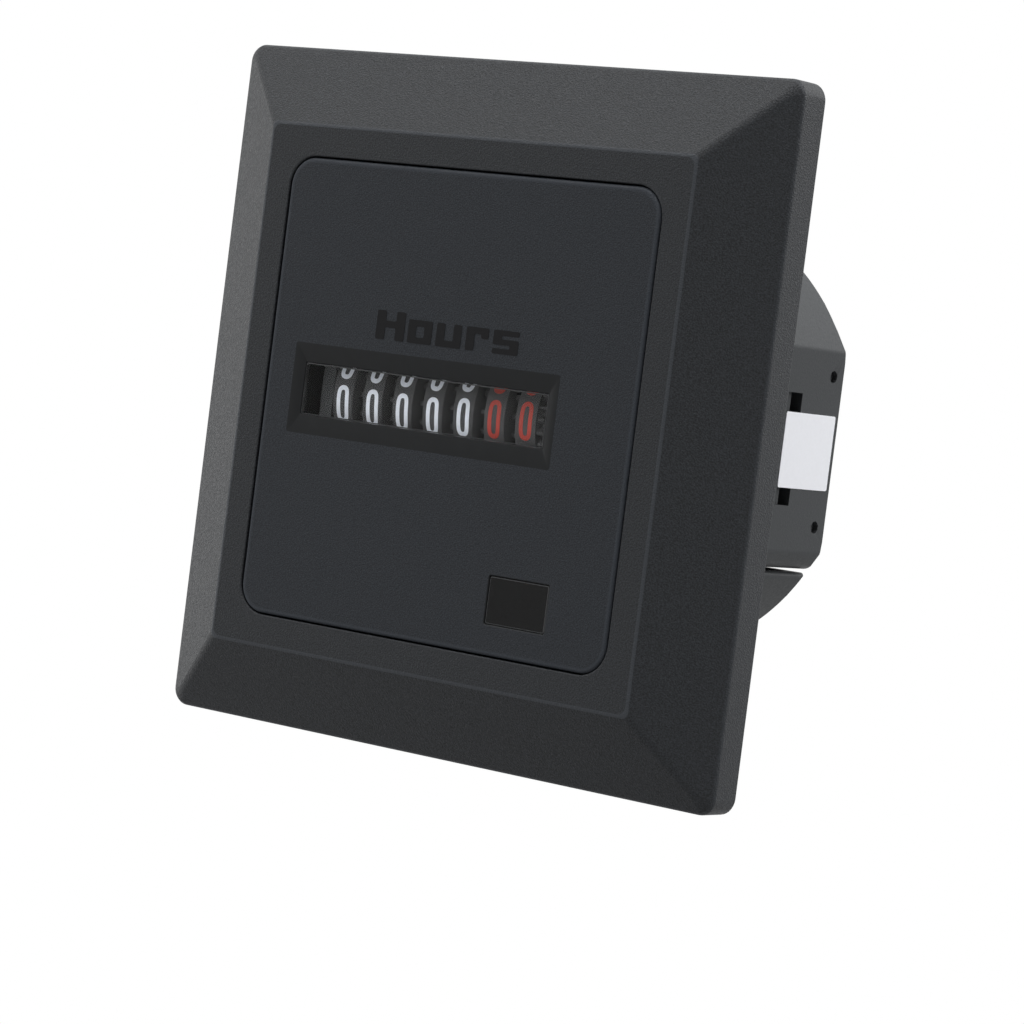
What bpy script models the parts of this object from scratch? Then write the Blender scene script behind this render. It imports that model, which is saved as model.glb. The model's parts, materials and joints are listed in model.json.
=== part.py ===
"""Panel hour meter: a 72 mm adapter frame, a 48 mm front and a drum-shaped body behind the panel.

Metres. +X is right, +Y is away from the viewer and +Z is up. The origin is the centre of the
frame's rear face, which lies against the panel. Seven number drums turn on one shaft behind the
window, a train of three stages drives the last of them, and eight-leaf pinions carry each turn on.
"""

import math

import bmesh
import bpy
from mathutils import Matrix

# Adapter frame
FACE_SIZE = 0.0720
OVERALL_DEPTH = 0.0400
FACE_HEIGHT = 0.0083
RIM_HEIGHT = 0.0037
FACE_FLAT_SIZE = 0.0550
FACE_CORNER_RADIUS = 0.0018
MITRE_RADIUS = 0.0007
FACE_SOFTNESS = 0.0005
FRAME_WALL = 0.0018
FRAME_RIB_THICKNESS = 0.0012
FRAME_RIB_PLACE = 0.0125
WEB_THICKNESS = 0.0016
COLLAR_WALL = 0.0016

# Square front of the meter, seated in the frame
CORE_SIZE = 0.0478
CORE_CORNER_RADIUS = 0.0030
CORE_EDGE_RADIUS = 0.0009
CORE_SEAM = 0.00035
COVER_DEPTH = 0.0030
COVER_WALL = 0.0016
HEAD_THICKNESS = 0.0017
HEAD_LIP = 0.00175
HEAD_RING_HEIGHT = 0.0009
HEAD_RING_WALL = 0.0012
HEAD_RING_GAP_WIDTH = 0.0140

# Window over the drums, and the small indicator window
WINDOW_X = -0.00305
WINDOW_WIDTH = 0.0350
WINDOW_HEIGHT = 0.0095
WINDOW_RECESS = 0.00035
LENS_WIDTH = 0.0323
LENS_HEIGHT = 0.0055
INDICATOR_X = 0.0125
INDICATOR_Z = -0.0185
INDICATOR_WIDTH = 0.0076
INDICATOR_HEIGHT = 0.0049
INDICATOR_RECESS = 0.0001
FLANGE_MARGIN = 0.0011
FLANGE_THICKNESS = 0.0007
REBATE_DEPTH = 0.00035
WINDOW_CORNER_RADIUS = 0.0002
MOUTH_CORNER_RADIUS = 0.0003
FLANGE_CORNER_RADIUS = 0.0006

# Drum-shaped body
BODY_DIAMETER = 0.0485
FLAT_DEPTH = 0.00255
BODY_WALL = 0.0015
BODY_EDGE_RADIUS = 0.0005
FLAT_START = 0.0010
SLOT_HEIGHT = 0.0119
SLOT_WIDTH = 0.0026
SLOT_FROM_REAR = 0.0100
SLOT_RIB_SHARE = 0.3
SLOT_RIB_WIDTH = 0.00045
SLOT_RIB_SINK = 0.0005
PIN_HOLE_RADIUS = 0.00068
PIN_HOLE_FROM_REAR = 0.0019
PIN_HOLE_HEIGHT = 0.00805
PILLAR_RADIUS = 0.0024
PILLAR_SINK = 0.0006
PILLAR_LENGTH = 0.0095
FRAME_PILLAR_ANGLE = 55.0
BOARD_PILLAR_ANGLE = -45.0
REAR_PANEL_WIDTH = 0.0240
REAR_PANEL_HEIGHT = 0.0110
REAR_PANEL_DEPTH = 0.0004
REAR_PANEL_CORNER_RADIUS = 0.0010

# Terminal chamber and its cover
CHAMBER_TOP = 0.0127
CHAMBER_WALL = 0.0015
SLIT = 0.0004
TERMINAL_COVER_WALL = 0.0014
WIRE_HOLE_RADIUS = 0.0019
WIRE_HOLE_DROP = 0.0050
TERMINAL_X = 0.0080
TERMINAL_WIDTH = 0.0060
TERMINAL_THICKNESS = 0.0008
TERMINAL_DROP = 0.0011
TERMINAL_END_GAP = 0.0010
TERMINAL_SCREW_FROM_END = 0.0042
TAIL_WIDTH = 0.0020
CLAMP_OPENING = 0.0006
BARRIER_THICKNESS = 0.0014
BARRIER_HEIGHT = 0.0075
PAD_LENGTH = 0.0025
TONGUE_WIDTH = 0.0030
TONGUE_THICKNESS = 0.0010
TONGUE_REACH = 0.0012
TONGUE_X = 0.0150

# Number drums and carry
DRUM_COUNT = 7
DRUM_PITCH = 0.00405
DRUM_RADIUS = 0.0077
BAND_WIDTH = 0.0026
DRUM_WINDOW_GAP = 0.00045
RING_WIDTH = 0.0006
RING_TEETH = 20
CARRY_LEAVES = 8
CARRY_SHAFT_GAP = 0.0002
CARRY_PLAY = 0.00012
CARRY_CLEARANCE = 0.00022
LOCK_DEPTH = 0.0007
SHAFT_RADIUS = 0.00075
PINION_SHAFT_RADIUS = 0.0005
SHAFT_HEAD = 0.0006

# Reduction train, folded up and down behind the drums
LEAVES = 6
DRUM_GEAR_TEETH = 36
SECOND_TEETH = 36
FIRST_TEETH = 30
WHEEL_WIDTH = 0.0008
LAYER_GAP = 0.0003
STUD_RADIUS = 0.0004
ARBOR_RADIUS = 0.0003
HUB_RADIUS = 0.0011
DRIVE_GEAR_INSET = 0.0002
LEAST_FOLD = 12.0

# Drum carrier
PLATE_THICKNESS = 0.0016
PLATE_MARGIN = 0.0022
BEAM_THICKNESS = 0.0012
NOSE_SHARE = 0.8
SHOULDER_SHARES = (-0.45, 0.4)
TOP_BEAM_SHARES = (-0.38, 0.24)
BEAM_CLEARANCE = 0.0009
PLATE_SCREW_ANGLES = (45.0, 58.0, -82.0)

# Motor
STATOR_X = 0.0050
STATOR_THICKNESS = 0.0012
STATOR_WIDTH = 0.0030
STATOR_EYE_RADIUS = 0.0032
STATOR_REAR_GAP = 0.0005
MAGNET_RADIUS = 0.0015
AIR_GAP = 0.0005
COIL_FORWARD = 0.0073
COIL_LENGTH = 0.0131
COIL_RADIUS = 0.0024
BARREL_RADIUS = 0.00165
CORE_WIDTH = 0.0020
BOBBIN_FLANGE = 0.0008
MOTOR_PLATE_X = 0.0090
MOTOR_PLATE_THICKNESS = 0.0009
POST_RADIUS = 0.0015
BRIDGE_THICKNESS = 0.0008
BRIDGE_RISE = 0.0006
BRIDGE_SCREW_REACH = 0.0056

# Circuit board
BOARD_THICKNESS = 0.0012
BOARD_Y = 0.0030
BOARD_TOP = 0.0123
BOARD_EDGE_CLEARANCE = 0.0006
PARTS_ROOM = 0.0081
CAPACITOR_LENGTH = 0.0080
CAPACITOR_DEPTH = 0.0058
CAPACITOR_HEIGHT = 0.0043
CHIP_LENGTH = 0.0048
CHIP_DEPTH = 0.0015
CHIP_HEIGHT = 0.0036
RESISTOR_RADIUS = 0.0011
RESISTOR_LENGTH = 0.0058
CRYSTAL_RADIUS = 0.0009
CRYSTAL_LENGTH = 0.0048
PART_SPACING = 0.0020
LEAD_RADIUS = 0.0003
LAMP_RADIUS = 0.0015
LAMP_LEAD_SPREAD = 0.0009
LAMP_X = 0.0116
LAMP_Z = -0.0172

# Screws and fits
SMALL_SCREW = {"shank": 0.00085, "head": 0.0016, "height": 0.0012, "length": 0.0062}
FINE_SCREW = {"shank": 0.0006, "head": 0.0011, "height": 0.0008, "length": 0.0042}
TERMINAL_SCREW = {"shank": 0.0014, "head": 0.0026, "height": 0.0018, "length": 0.0033}
SLOT_SHARE = 0.22
SLOT_DEPTH_SHARE = 0.45
HEAD_TOP_SHARE = 0.85
HEAD_TAPER_SHARE = 0.4
GAP = 0.0003
SNUG = 0.00015
RUNNING = 0.0001

# Smoothness of round shapes
BODY_STEPS = 44
INNER_STEPS = 28
DRUM_STEPS = 28
SMALL_STEPS = 10
FINE_STEPS = 8
LEAD_STEPS = 6
COIL_STEPS = 16
CORNER_STEPS = 4
LOCK_STEPS = 6
DOME_STEPS = 4
SHARP_ANGLE = 35.0
MERGE_DISTANCE = 0.0000005

# Where the pieces meet, front to rear
FRONT = -FACE_HEIGHT
BODY_END = OVERALL_DEPTH - FACE_HEIGHT
COVER_REAR = FRONT + COVER_DEPTH
COVER_INSIDE = FRONT + COVER_WALL
HEAD_FRONT = COVER_REAR + GAP
HEAD_REAR = HEAD_FRONT + HEAD_THICKNESS
WEB_FRONT = HEAD_REAR + GAP
WEB_REAR = WEB_FRONT + WEB_THICKNESS
FLANGE_FRONT = COVER_INSIDE - REBATE_DEPTH + SNUG
FLANGE_REAR = FLANGE_FRONT + FLANGE_THICKNESS

# Body
BODY_RADIUS = BODY_DIAMETER / 2
FAR = BODY_DIAMETER
CHAMBER_WALL_FRONT = BOARD_Y + BOARD_THICKNESS + PARTS_ROOM
CHAMBER_FRONT = CHAMBER_WALL_FRONT + CHAMBER_WALL
TERMINAL_END = BODY_END - TERMINAL_COVER_WALL - TERMINAL_END_GAP
TERMINAL_SCREW_Y = TERMINAL_END - TERMINAL_SCREW_FROM_END
CAVITY_RADIUS = BODY_RADIUS - BODY_WALL
FLAT_X = BODY_RADIUS - FLAT_DEPTH
CAVITY_X = FLAT_X - BODY_WALL
FLOOR_TOP = -CHAMBER_TOP + CHAMBER_WALL
HEAD_OPENING = CAVITY_RADIUS - HEAD_LIP
CORE_HALF = CORE_SIZE / 2
COVER_HALF_INSIDE = CORE_HALF - BODY_WALL

# Counter
DRUM_Y = FLANGE_REAR + DRUM_WINDOW_GAP + DRUM_RADIUS
CARRY_DISTANCE = DRUM_RADIUS + CARRY_SHAFT_GAP + PINION_SHAFT_RADIUS
CARRY_MODULE = CARRY_DISTANCE * 2 / (RING_TEETH + CARRY_LEAVES)
FIRST_DRUM_X = WINDOW_X - DRUM_PITCH * (DRUM_COUNT - 1) / 2
LAST_DRUM_X = FIRST_DRUM_X + DRUM_PITCH * (DRUM_COUNT - 1)
LAYER_0 = LAST_DRUM_X + BAND_WIDTH / 2
LAYER_1 = LAYER_0 + WHEEL_WIDTH + LAYER_GAP
LAYER_2 = LAYER_1 + WHEEL_WIDTH + LAYER_GAP
RIGHT_PLATE = LAYER_2 + WHEEL_WIDTH + LAYER_GAP + RUNNING
LEFT_PLATE = FIRST_DRUM_X - BAND_WIDTH / 2 - LAYER_GAP

# Tooth form: height above and below the pitch circle as shares of the module, and width at the
# root and the tip as shares of the tooth pitch
ADDENDUM = 0.75
DEDENDUM = 1.15
WHEEL_SHARES = (0.68, 0.24)
LEAF_SHARES = (0.72, 0.24)

# The train's size follows the drums, and its folds end before the rear cover
TRAIN_MODULE = (DRUM_RADIUS - DRIVE_GEAR_INSET) / (DRUM_GEAR_TEETH / 2 + ADDENDUM)
TRAIN_STEPS = [
    TRAIN_MODULE * (teeth + LEAVES) / 2
    for teeth in (DRUM_GEAR_TEETH, SECOND_TEETH, FIRST_TEETH)
]
TRAIN_ROOM = BODY_END - BODY_WALL - STATOR_REAR_GAP - STATOR_EYE_RADIUS - DRUM_Y
TRAIN_REACH = min(TRAIN_ROOM, sum(TRAIN_STEPS) * math.cos(math.radians(LEAST_FOLD)))
FOLD = math.acos(TRAIN_REACH / sum(TRAIN_STEPS))

# Turns an object's own Z towards X or Y, keeping the three axes in their cyclic order
TURN = {
    "X": Matrix(((0, 0, 1), (1, 0, 0), (0, 1, 0))).to_4x4(),
    "Y": Matrix(((0, 1, 0), (0, 0, 1), (1, 0, 0))).to_4x4(),
    "Z": Matrix.Identity(4),
}


def polar(radius, degrees):
    """A point at this distance and angle from the origin of a plane."""
    angle = math.radians(degrees)
    return radius * math.cos(angle), radius * math.sin(angle)


def folded(start, length, direction):
    """The (y, z) place that lies this length from start, up or down by the fold."""
    return start[0] + length * math.cos(FOLD), start[1] + direction * length * math.sin(FOLD)


SECOND_AXIS = folded((DRUM_Y, 0.0), TRAIN_STEPS[0], 1)
FIRST_AXIS = folded(SECOND_AXIS, TRAIN_STEPS[1], -1)
ROTOR_AXIS = folded(FIRST_AXIS, TRAIN_STEPS[2], 1)


def clear_scene():
    for item in list(bpy.data.objects):
        bpy.data.objects.remove(item, do_unlink=True)


def make_collection(name):
    group = bpy.data.collections.new(name)
    bpy.context.scene.collection.children.link(group)
    return group


clear_scene()
METER = make_collection("hour_meter")
CUTTERS = make_collection("cutters")


def material(name, colour, roughness, metallic=0.0):
    made = bpy.data.materials.new(name)
    made.use_nodes = True
    shader = made.node_tree.nodes["Principled BSDF"]
    shader.inputs["Base Color"].default_value = (*colour, 1.0)
    shader.inputs["Roughness"].default_value = roughness
    shader.inputs["Metallic"].default_value = metallic
    return made


CHARCOAL = material("charcoal_moulding", (0.030, 0.034, 0.038), 0.55)
GREY = material("grey_moulding", (0.080, 0.086, 0.090), 0.50)
BLACK = material("black_moulding", (0.012, 0.013, 0.014), 0.45)
CLEAR = material("clear_window", (0.85, 0.88, 0.90), 0.05)
SMOKED = material("smoked_window", (0.010, 0.011, 0.013), 0.10)
NATURAL = material("natural_nylon", (0.72, 0.70, 0.64), 0.45)
BRASS = material("brass", (0.72, 0.53, 0.25), 0.30, 1.0)
STEEL = material("steel", (0.60, 0.61, 0.62), 0.30, 1.0)
COPPER = material("enamelled_copper", (0.60, 0.22, 0.08), 0.30, 0.8)
GREEN = material("board_laminate", (0.02, 0.16, 0.07), 0.40)
YELLOW = material("capacitor_case", (0.75, 0.55, 0.08), 0.45)
RED = material("lamp_body", (0.55, 0.03, 0.02), 0.20)


def add(name, mesh, axis="Z", place=(0.0, 0.0, 0.0), finish=None):
    """An object in the meter's collection, its own Z along the axis and its origin at place."""
    item = bpy.data.objects.new(name, mesh)
    item.matrix_world = Matrix.Translation(place) @ TURN[axis]
    METER.objects.link(item)
    if finish:
        mesh.materials.append(finish)
    return item


def hide(item):
    """Makes an object a cutter or a tool, which is no piece of the meter."""
    METER.objects.unlink(item)
    CUTTERS.objects.link(item)
    item.hide_render = True
    item.display_type = "WIRE"


def boolean(target, operation, tools):
    for tool in tools:
        step = target.modifiers.new(operation.lower() + "_" + tool.name, "BOOLEAN")
        step.operation = operation
        step.solver = "EXACT"
        step.object = tool
        hide(tool)
    return target


def cut(target, *tools):
    return boolean(target, "DIFFERENCE", tools)


def join(target, *tools):
    return boolean(target, "UNION", tools)


def mesh_from(name, shape):
    """Turns a bmesh into a mesh with smooth round sides and sharp edges."""
    mesh = bpy.data.meshes.new(name)
    bmesh.ops.recalc_face_normals(shape, faces=shape.faces)
    shape.to_mesh(mesh)
    shape.free()
    mesh.shade_smooth()
    mesh.set_sharp_from_angle(angle=math.radians(SHARP_ANGLE))
    return mesh


def box(name, low, high, finish=None):
    """A box between two corners, with its origin at its centre."""
    shape = bmesh.new()
    bmesh.ops.create_cube(shape, size=1.0)
    size = [b - a for a, b in zip(low, high)]
    bmesh.ops.scale(shape, vec=size, verts=shape.verts)
    centre = [(a + b) / 2 for a, b in zip(low, high)]
    return add(name, mesh_from(name, shape), "Z", centre, finish)


def rod(name, radius, axis, start, end, across, steps=SMALL_STEPS, finish=None):
    """A cylinder along an axis from start to end, at the place across it.

    across is (y, z) for axis X, (x, z) for axis Y and (x, y) for axis Z.
    """
    shape = bmesh.new()
    bmesh.ops.create_cone(
        shape,
        cap_ends=True,
        segments=steps,
        radius1=radius,
        radius2=radius,
        depth=end - start,
    )
    place = list(across)
    place.insert("XYZ".index(axis), (start + end) / 2)
    return add(name, mesh_from(name, shape), axis, place, finish)


def turned(name, profile, axis, place, steps=SMALL_STEPS, finish=None):
    """A profile of (radius, distance along the axis), turned round the axis through place.

    The profile runs down its outer side, FAR end first. One that starts and ends off the axis
    is closed, and makes a ring.
    """
    ring = profile[0][0] > 0 and profile[-1][0] > 0
    mesh = bpy.data.meshes.new(name)
    edges = [(i, i + 1) for i in range(len(profile) - 1)]
    if ring:
        edges.append((len(profile) - 1, 0))
    mesh.from_pydata([(r, 0.0, along) for r, along in profile], edges, [])
    item = add(name, mesh, axis, place, finish)
    screw = item.modifiers.new("turn", "SCREW")
    screw.axis = "Z"
    screw.steps = steps
    screw.render_steps = steps
    screw.use_merge_vertices = True
    screw.merge_threshold = MERGE_DISTANCE * 2
    screw.use_smooth_shade = True
    return item


def extruded(name, outline, axis, start, end, across=(0.0, 0.0), turn=0.0, finish=None):
    """A flat outline drawn as a filled 2D curve, thickened from start to end along an axis.

    The outline's points are (y, z) for axis X, (x, z) for axis Y and (x, y) for axis Z, and so
    is across, the place of the outline's own origin. turn rotates it about that origin.
    """
    if axis == "Y":
        outline = [(v, u) for u, v in outline]
    curve = bpy.data.curves.new(name, "CURVE")
    curve.dimensions = "2D"
    curve.fill_mode = "BOTH"
    curve.extrude = (end - start) / 2
    line = curve.splines.new("POLY")
    line.points.add(len(outline) - 1)
    for point, (u, v) in zip(line.points, outline):
        point.co = (u, v, 0.0, 1.0)
    line.use_cyclic_u = True
    drawn = bpy.data.objects.new(name + "_outline", curve)
    METER.objects.link(drawn)
    bpy.context.view_layer.update()
    graph = bpy.context.evaluated_depsgraph_get()
    mesh = bpy.data.meshes.new_from_object(drawn.evaluated_get(graph))
    bpy.data.objects.remove(drawn, do_unlink=True)
    shape = bmesh.new()
    shape.from_mesh(mesh)
    bpy.data.meshes.remove(mesh)
    bmesh.ops.remove_doubles(shape, verts=shape.verts, dist=MERGE_DISTANCE)
    place = list(across)
    place.insert("XYZ".index(axis), (start + end) / 2)
    item = add(name, mesh_from(name, shape), axis, place, finish)
    item.matrix_world = item.matrix_world @ Matrix.Rotation(turn, 4, "Z")
    return item


def rounded_rectangle(half_x, half_z, radius, steps=CORNER_STEPS):
    """The (x, z) points of a rectangle whose corners are arcs, once round."""
    points = []
    for corner, (sx, sz) in enumerate(((1, 1), (-1, 1), (-1, -1), (1, -1))):
        for step in range(steps + 1):
            angle = math.pi / 2 * (corner + step / steps)
            points.append(
                (
                    sx * (half_x - radius) + radius * math.cos(angle),
                    sz * (half_z - radius) + radius * math.sin(angle),
                )
            )
    return points


def lofted(name, sections, centre=(0.0, 0.0), steps=CORNER_STEPS, finish=None):
    """A solid through rounded rectangles of changing size and corner, front to rear.

    Each section is (y, half width, half height, corner radius).
    """
    shape = bmesh.new()
    rings = []
    for y, half_x, half_z, radius in sections:
        ring = rounded_rectangle(half_x, half_z, radius, steps)
        rings.append([shape.verts.new((x, y, z)) for x, z in ring])
    count = len(rings[0])
    for before, after in zip(rings, rings[1:]):
        for i in range(count):
            j = (i + 1) % count
            shape.faces.new((before[i], before[j], after[j], after[i]))
    shape.faces.new(rings[0])
    shape.faces.new(rings[-1])
    return add(name, mesh_from(name, shape), "Z", (centre[0], 0.0, centre[1]), finish)


def softened(corner, before, after, radius, steps=2):
    """Points of an arc that rounds a corner of a profile, from the side of before to after."""
    def towards(point):
        du, dv = point[0] - corner[0], point[1] - corner[1]
        length = math.hypot(du, dv)
        return du / length, dv / length

    a, b = towards(before), towards(after)
    half = math.acos(max(-1.0, min(1.0, a[0] * b[0] + a[1] * b[1]))) / 2
    reach = radius / math.tan(half)
    middle = (a[0] + b[0], a[1] + b[1])
    length = math.hypot(*middle)
    out = radius / math.sin(half) / length
    centre = (corner[0] + middle[0] * out, corner[1] + middle[1] * out)
    start = (corner[0] + a[0] * reach, corner[1] + a[1] * reach)
    first = math.atan2(start[1] - centre[1], start[0] - centre[0])
    end = (corner[0] + b[0] * reach, corner[1] + b[1] * reach)
    sweep = math.atan2(end[1] - centre[1], end[0] - centre[0]) - first
    sweep = (sweep + math.pi) % (2 * math.pi) - math.pi
    return [
        (
            centre[0] + radius * math.cos(first + sweep * i / steps),
            centre[1] + radius * math.sin(first + sweep * i / steps),
        )
        for i in range(steps + 1)
    ]


def gear_outline(teeth, module, shares, every=1):
    """Points round a spur gear whose teeth have straight flanks from root to tip.

    With every=2, only every second tooth is full height and the rest is root circle.
    """
    pitch = teeth * module / 2
    radii = (pitch - DEDENDUM * module, pitch + ADDENDUM * module)
    points = []
    for tooth in range(teeth):
        middle = 2 * math.pi * tooth / teeth
        levels = list(zip(radii, shares))
        if tooth % every:
            levels = levels[:1]
        sides = [(r, middle - math.pi * s / teeth) for r, s in levels]
        sides += [(r, middle + math.pi * s / teeth) for r, s in reversed(levels)]
        points += [(r * math.cos(angle), r * math.sin(angle)) for r, angle in sides]
    return points


def mesh_turn(driver_teeth, driver_turn, driven_teeth, direction):
    """The turn that puts a driven gear in mesh with its driver, which lies opposite direction.

    direction is the angle from the driver's axis to the driven gear's.
    """
    phase = (direction - driver_turn) * driver_teeth / (2 * math.pi)
    return direction + math.pi - 2 * math.pi * (0.5 - phase) / driven_teeth


def near_wall(degrees, radius):
    """The (x, z) place of a pillar of this radius that merges with the body's inner wall."""
    return polar(CAVITY_RADIUS - radius + PILLAR_SINK, degrees)


def build_bezel_frame():
    """Square adapter frame: a mitred slope round the front, hollow and ribbed behind."""
    half = FACE_SIZE / 2
    flat = FACE_FLAT_SIZE / 2
    rear, rim, front = (half, 0.0), (half, -RIM_HEIGHT), (flat, FRONT)
    inner = (0.0, FRONT)
    profile = [rear]
    profile += softened(rim, rear, front, FACE_SOFTNESS)
    profile += softened(front, rim, inner, FACE_SOFTNESS)
    slope = (FACE_CORNER_RADIUS - MITRE_RADIUS) / (FACE_HEIGHT - RIM_HEIGHT)

    def corner(y):
        return FACE_CORNER_RADIUS - slope * max(0.0, -RIM_HEIGHT - y)

    frame = lofted(
        "bezel_frame", [(y, a, a, corner(y)) for a, y in profile], finish=CHARCOAL
    )
    run = half - flat
    rise = FACE_HEIGHT - RIM_HEIGHT
    drop = FRAME_WALL * math.hypot(run, rise) / run
    inside = half - FRAME_WALL
    shoulder = -RIM_HEIGHT + drop - FRAME_WALL * rise / run
    hollow = lofted(
        "frame_hollow",
        [
            (GAP, inside, inside, FACE_CORNER_RADIUS / 2),
            (shoulder, inside, inside, FACE_CORNER_RADIUS / 2),
            (FRONT + drop, flat, flat, FACE_CORNER_RADIUS / 2),
        ],
        steps=1,
    )
    opening = CORE_HALF + CORE_SEAM
    opening_corner = CORE_CORNER_RADIUS + CORE_SEAM
    bore = BODY_RADIUS + CORE_SEAM
    wall = lofted(
        "recess_wall",
        [
            (FRONT, *[opening + COLLAR_WALL] * 2, opening_corner + COLLAR_WALL),
            (WEB_REAR, *[opening + COLLAR_WALL] * 2, opening_corner + COLLAR_WALL),
        ],
        steps=2,
    )
    collar = rod(
        "panel_collar", bore + COLLAR_WALL, "Y", WEB_REAR - GAP, GAP * 2, (0, 0), INNER_STEPS
    )
    ribs = []
    for side in (-1, 1):
        low = side * FRAME_RIB_PLACE - FRAME_RIB_THICKNESS / 2
        high = side * FRAME_RIB_PLACE + FRAME_RIB_THICKNESS / 2
        ribs.append(box("rib_across", (-half, FRONT, low), (half, -GAP, high)))
        ribs.append(box("rib_upright", (low, FRONT, -half), (high, -GAP, half)))
    cut(hollow, wall, collar, *ribs)
    recess = lofted(
        "core_recess",
        [
            (FRONT - GAP, *[opening + FACE_SOFTNESS] * 2, opening_corner + FACE_SOFTNESS),
            (FRONT + FACE_SOFTNESS / 2, opening, opening, opening_corner),
            (WEB_FRONT, opening, opening, opening_corner),
        ],
        steps=CORNER_STEPS + 1,
    )
    hole = rod("body_bore", bore, "Y", WEB_FRONT - GAP, GAP, (0, 0), BODY_STEPS)
    return cut(frame, hollow, recess, hole)


def window_cutters(name, centre, half_x, half_z, recess, outer):
    """The opening, its sloped mouth and the rebate behind it for the window's flange."""
    mouth = lofted(
        name + "_mouth",
        [
            (FRONT - recess, outer[0] * 2 - half_x, outer[1] * 2 - half_z, MOUTH_CORNER_RADIUS),
            (FRONT + recess, half_x, half_z, WINDOW_CORNER_RADIUS),
            (COVER_INSIDE + GAP, half_x, half_z, WINDOW_CORNER_RADIUS),
        ],
        centre,
        1,
    )
    margin = FLANGE_MARGIN + SNUG
    size = (half_x + margin, half_z + margin, FLANGE_CORNER_RADIUS)
    rebate = lofted(
        name + "_rebate",
        [(COVER_INSIDE - REBATE_DEPTH, *size), (COVER_INSIDE + GAP, *size)],
        centre,
        2,
    )
    return mouth, rebate


def build_window(name, centre, half_x, half_z, recess, finish):
    """A window moulding: a pad that fills the opening, on a flange seated behind the cover."""
    pad_x, pad_z = half_x - SNUG, half_z - SNUG
    pad = lofted(
        name,
        [
            (FRONT + recess, pad_x - SNUG, pad_z - SNUG, WINDOW_CORNER_RADIUS),
            (FRONT + recess + SNUG, pad_x, pad_z, WINDOW_CORNER_RADIUS),
            (FLANGE_FRONT + SNUG, pad_x, pad_z, WINDOW_CORNER_RADIUS),
        ],
        centre,
        1,
        finish,
    )
    size = (half_x + FLANGE_MARGIN, half_z + FLANGE_MARGIN, FLANGE_CORNER_RADIUS)
    flange = lofted(
        name + "_flange",
        [(FLANGE_FRONT, *size), (FLANGE_REAR, *size)],
        centre,
        2,
    )
    return join(pad, flange)


def build_front_cover():
    """Square cap with rounded edges and two window openings."""
    edge = CORE_EDGE_RADIUS
    sections = []
    for step in range(CORNER_STEPS):
        angle = math.pi / 2 * step / (CORNER_STEPS - 1)
        inset = edge * (1 - math.sin(angle))
        half = CORE_HALF - inset
        y = FRONT + edge * (1 - math.cos(angle))
        sections.append((y, half, half, CORE_CORNER_RADIUS - inset))
    sections.append((COVER_REAR, CORE_HALF, CORE_HALF, CORE_CORNER_RADIUS))
    cover = lofted("front_cover", sections, steps=CORNER_STEPS + 1, finish=CHARCOAL)
    inside = lofted(
        "cover_hollow",
        [
            (COVER_INSIDE, COVER_HALF_INSIDE, COVER_HALF_INSIDE, CORE_CORNER_RADIUS / 2),
            (COVER_REAR + GAP, COVER_HALF_INSIDE, COVER_HALF_INSIDE, CORE_CORNER_RADIUS / 2),
        ],
        steps=2,
    )
    cut(cover, inside)
    counter = (WINDOW_X, 0.0)
    lamp = (INDICATOR_X, INDICATOR_Z)
    cut(
        cover,
        *window_cutters(
            "counter",
            counter,
            LENS_WIDTH / 2,
            LENS_HEIGHT / 2,
            WINDOW_RECESS,
            (WINDOW_WIDTH / 2, WINDOW_HEIGHT / 2),
        ),
        *window_cutters(
            "indicator",
            lamp,
            INDICATOR_WIDTH / 2,
            INDICATOR_HEIGHT / 2,
            INDICATOR_RECESS,
            (INDICATOR_WIDTH / 2 + SNUG, INDICATOR_HEIGHT / 2 + SNUG),
        ),
    )
    build_window(
        "counter_window", counter, LENS_WIDTH / 2, LENS_HEIGHT / 2, WINDOW_RECESS, CLEAR
    )
    build_window(
        "indicator_window",
        lamp,
        INDICATOR_WIDTH / 2,
        INDICATOR_HEIGHT / 2,
        INDICATOR_RECESS,
        SMOKED,
    )


def side_blocks(name, inner_x, start, end):
    """Two blocks that stand outside the flats, left and right."""
    return [
        box(name + "_right", (inner_x, start, -FAR), (FAR, end, FAR)),
        box(name + "_left", (-FAR, start, -FAR), (-inner_x, end, FAR)),
    ]


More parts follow.
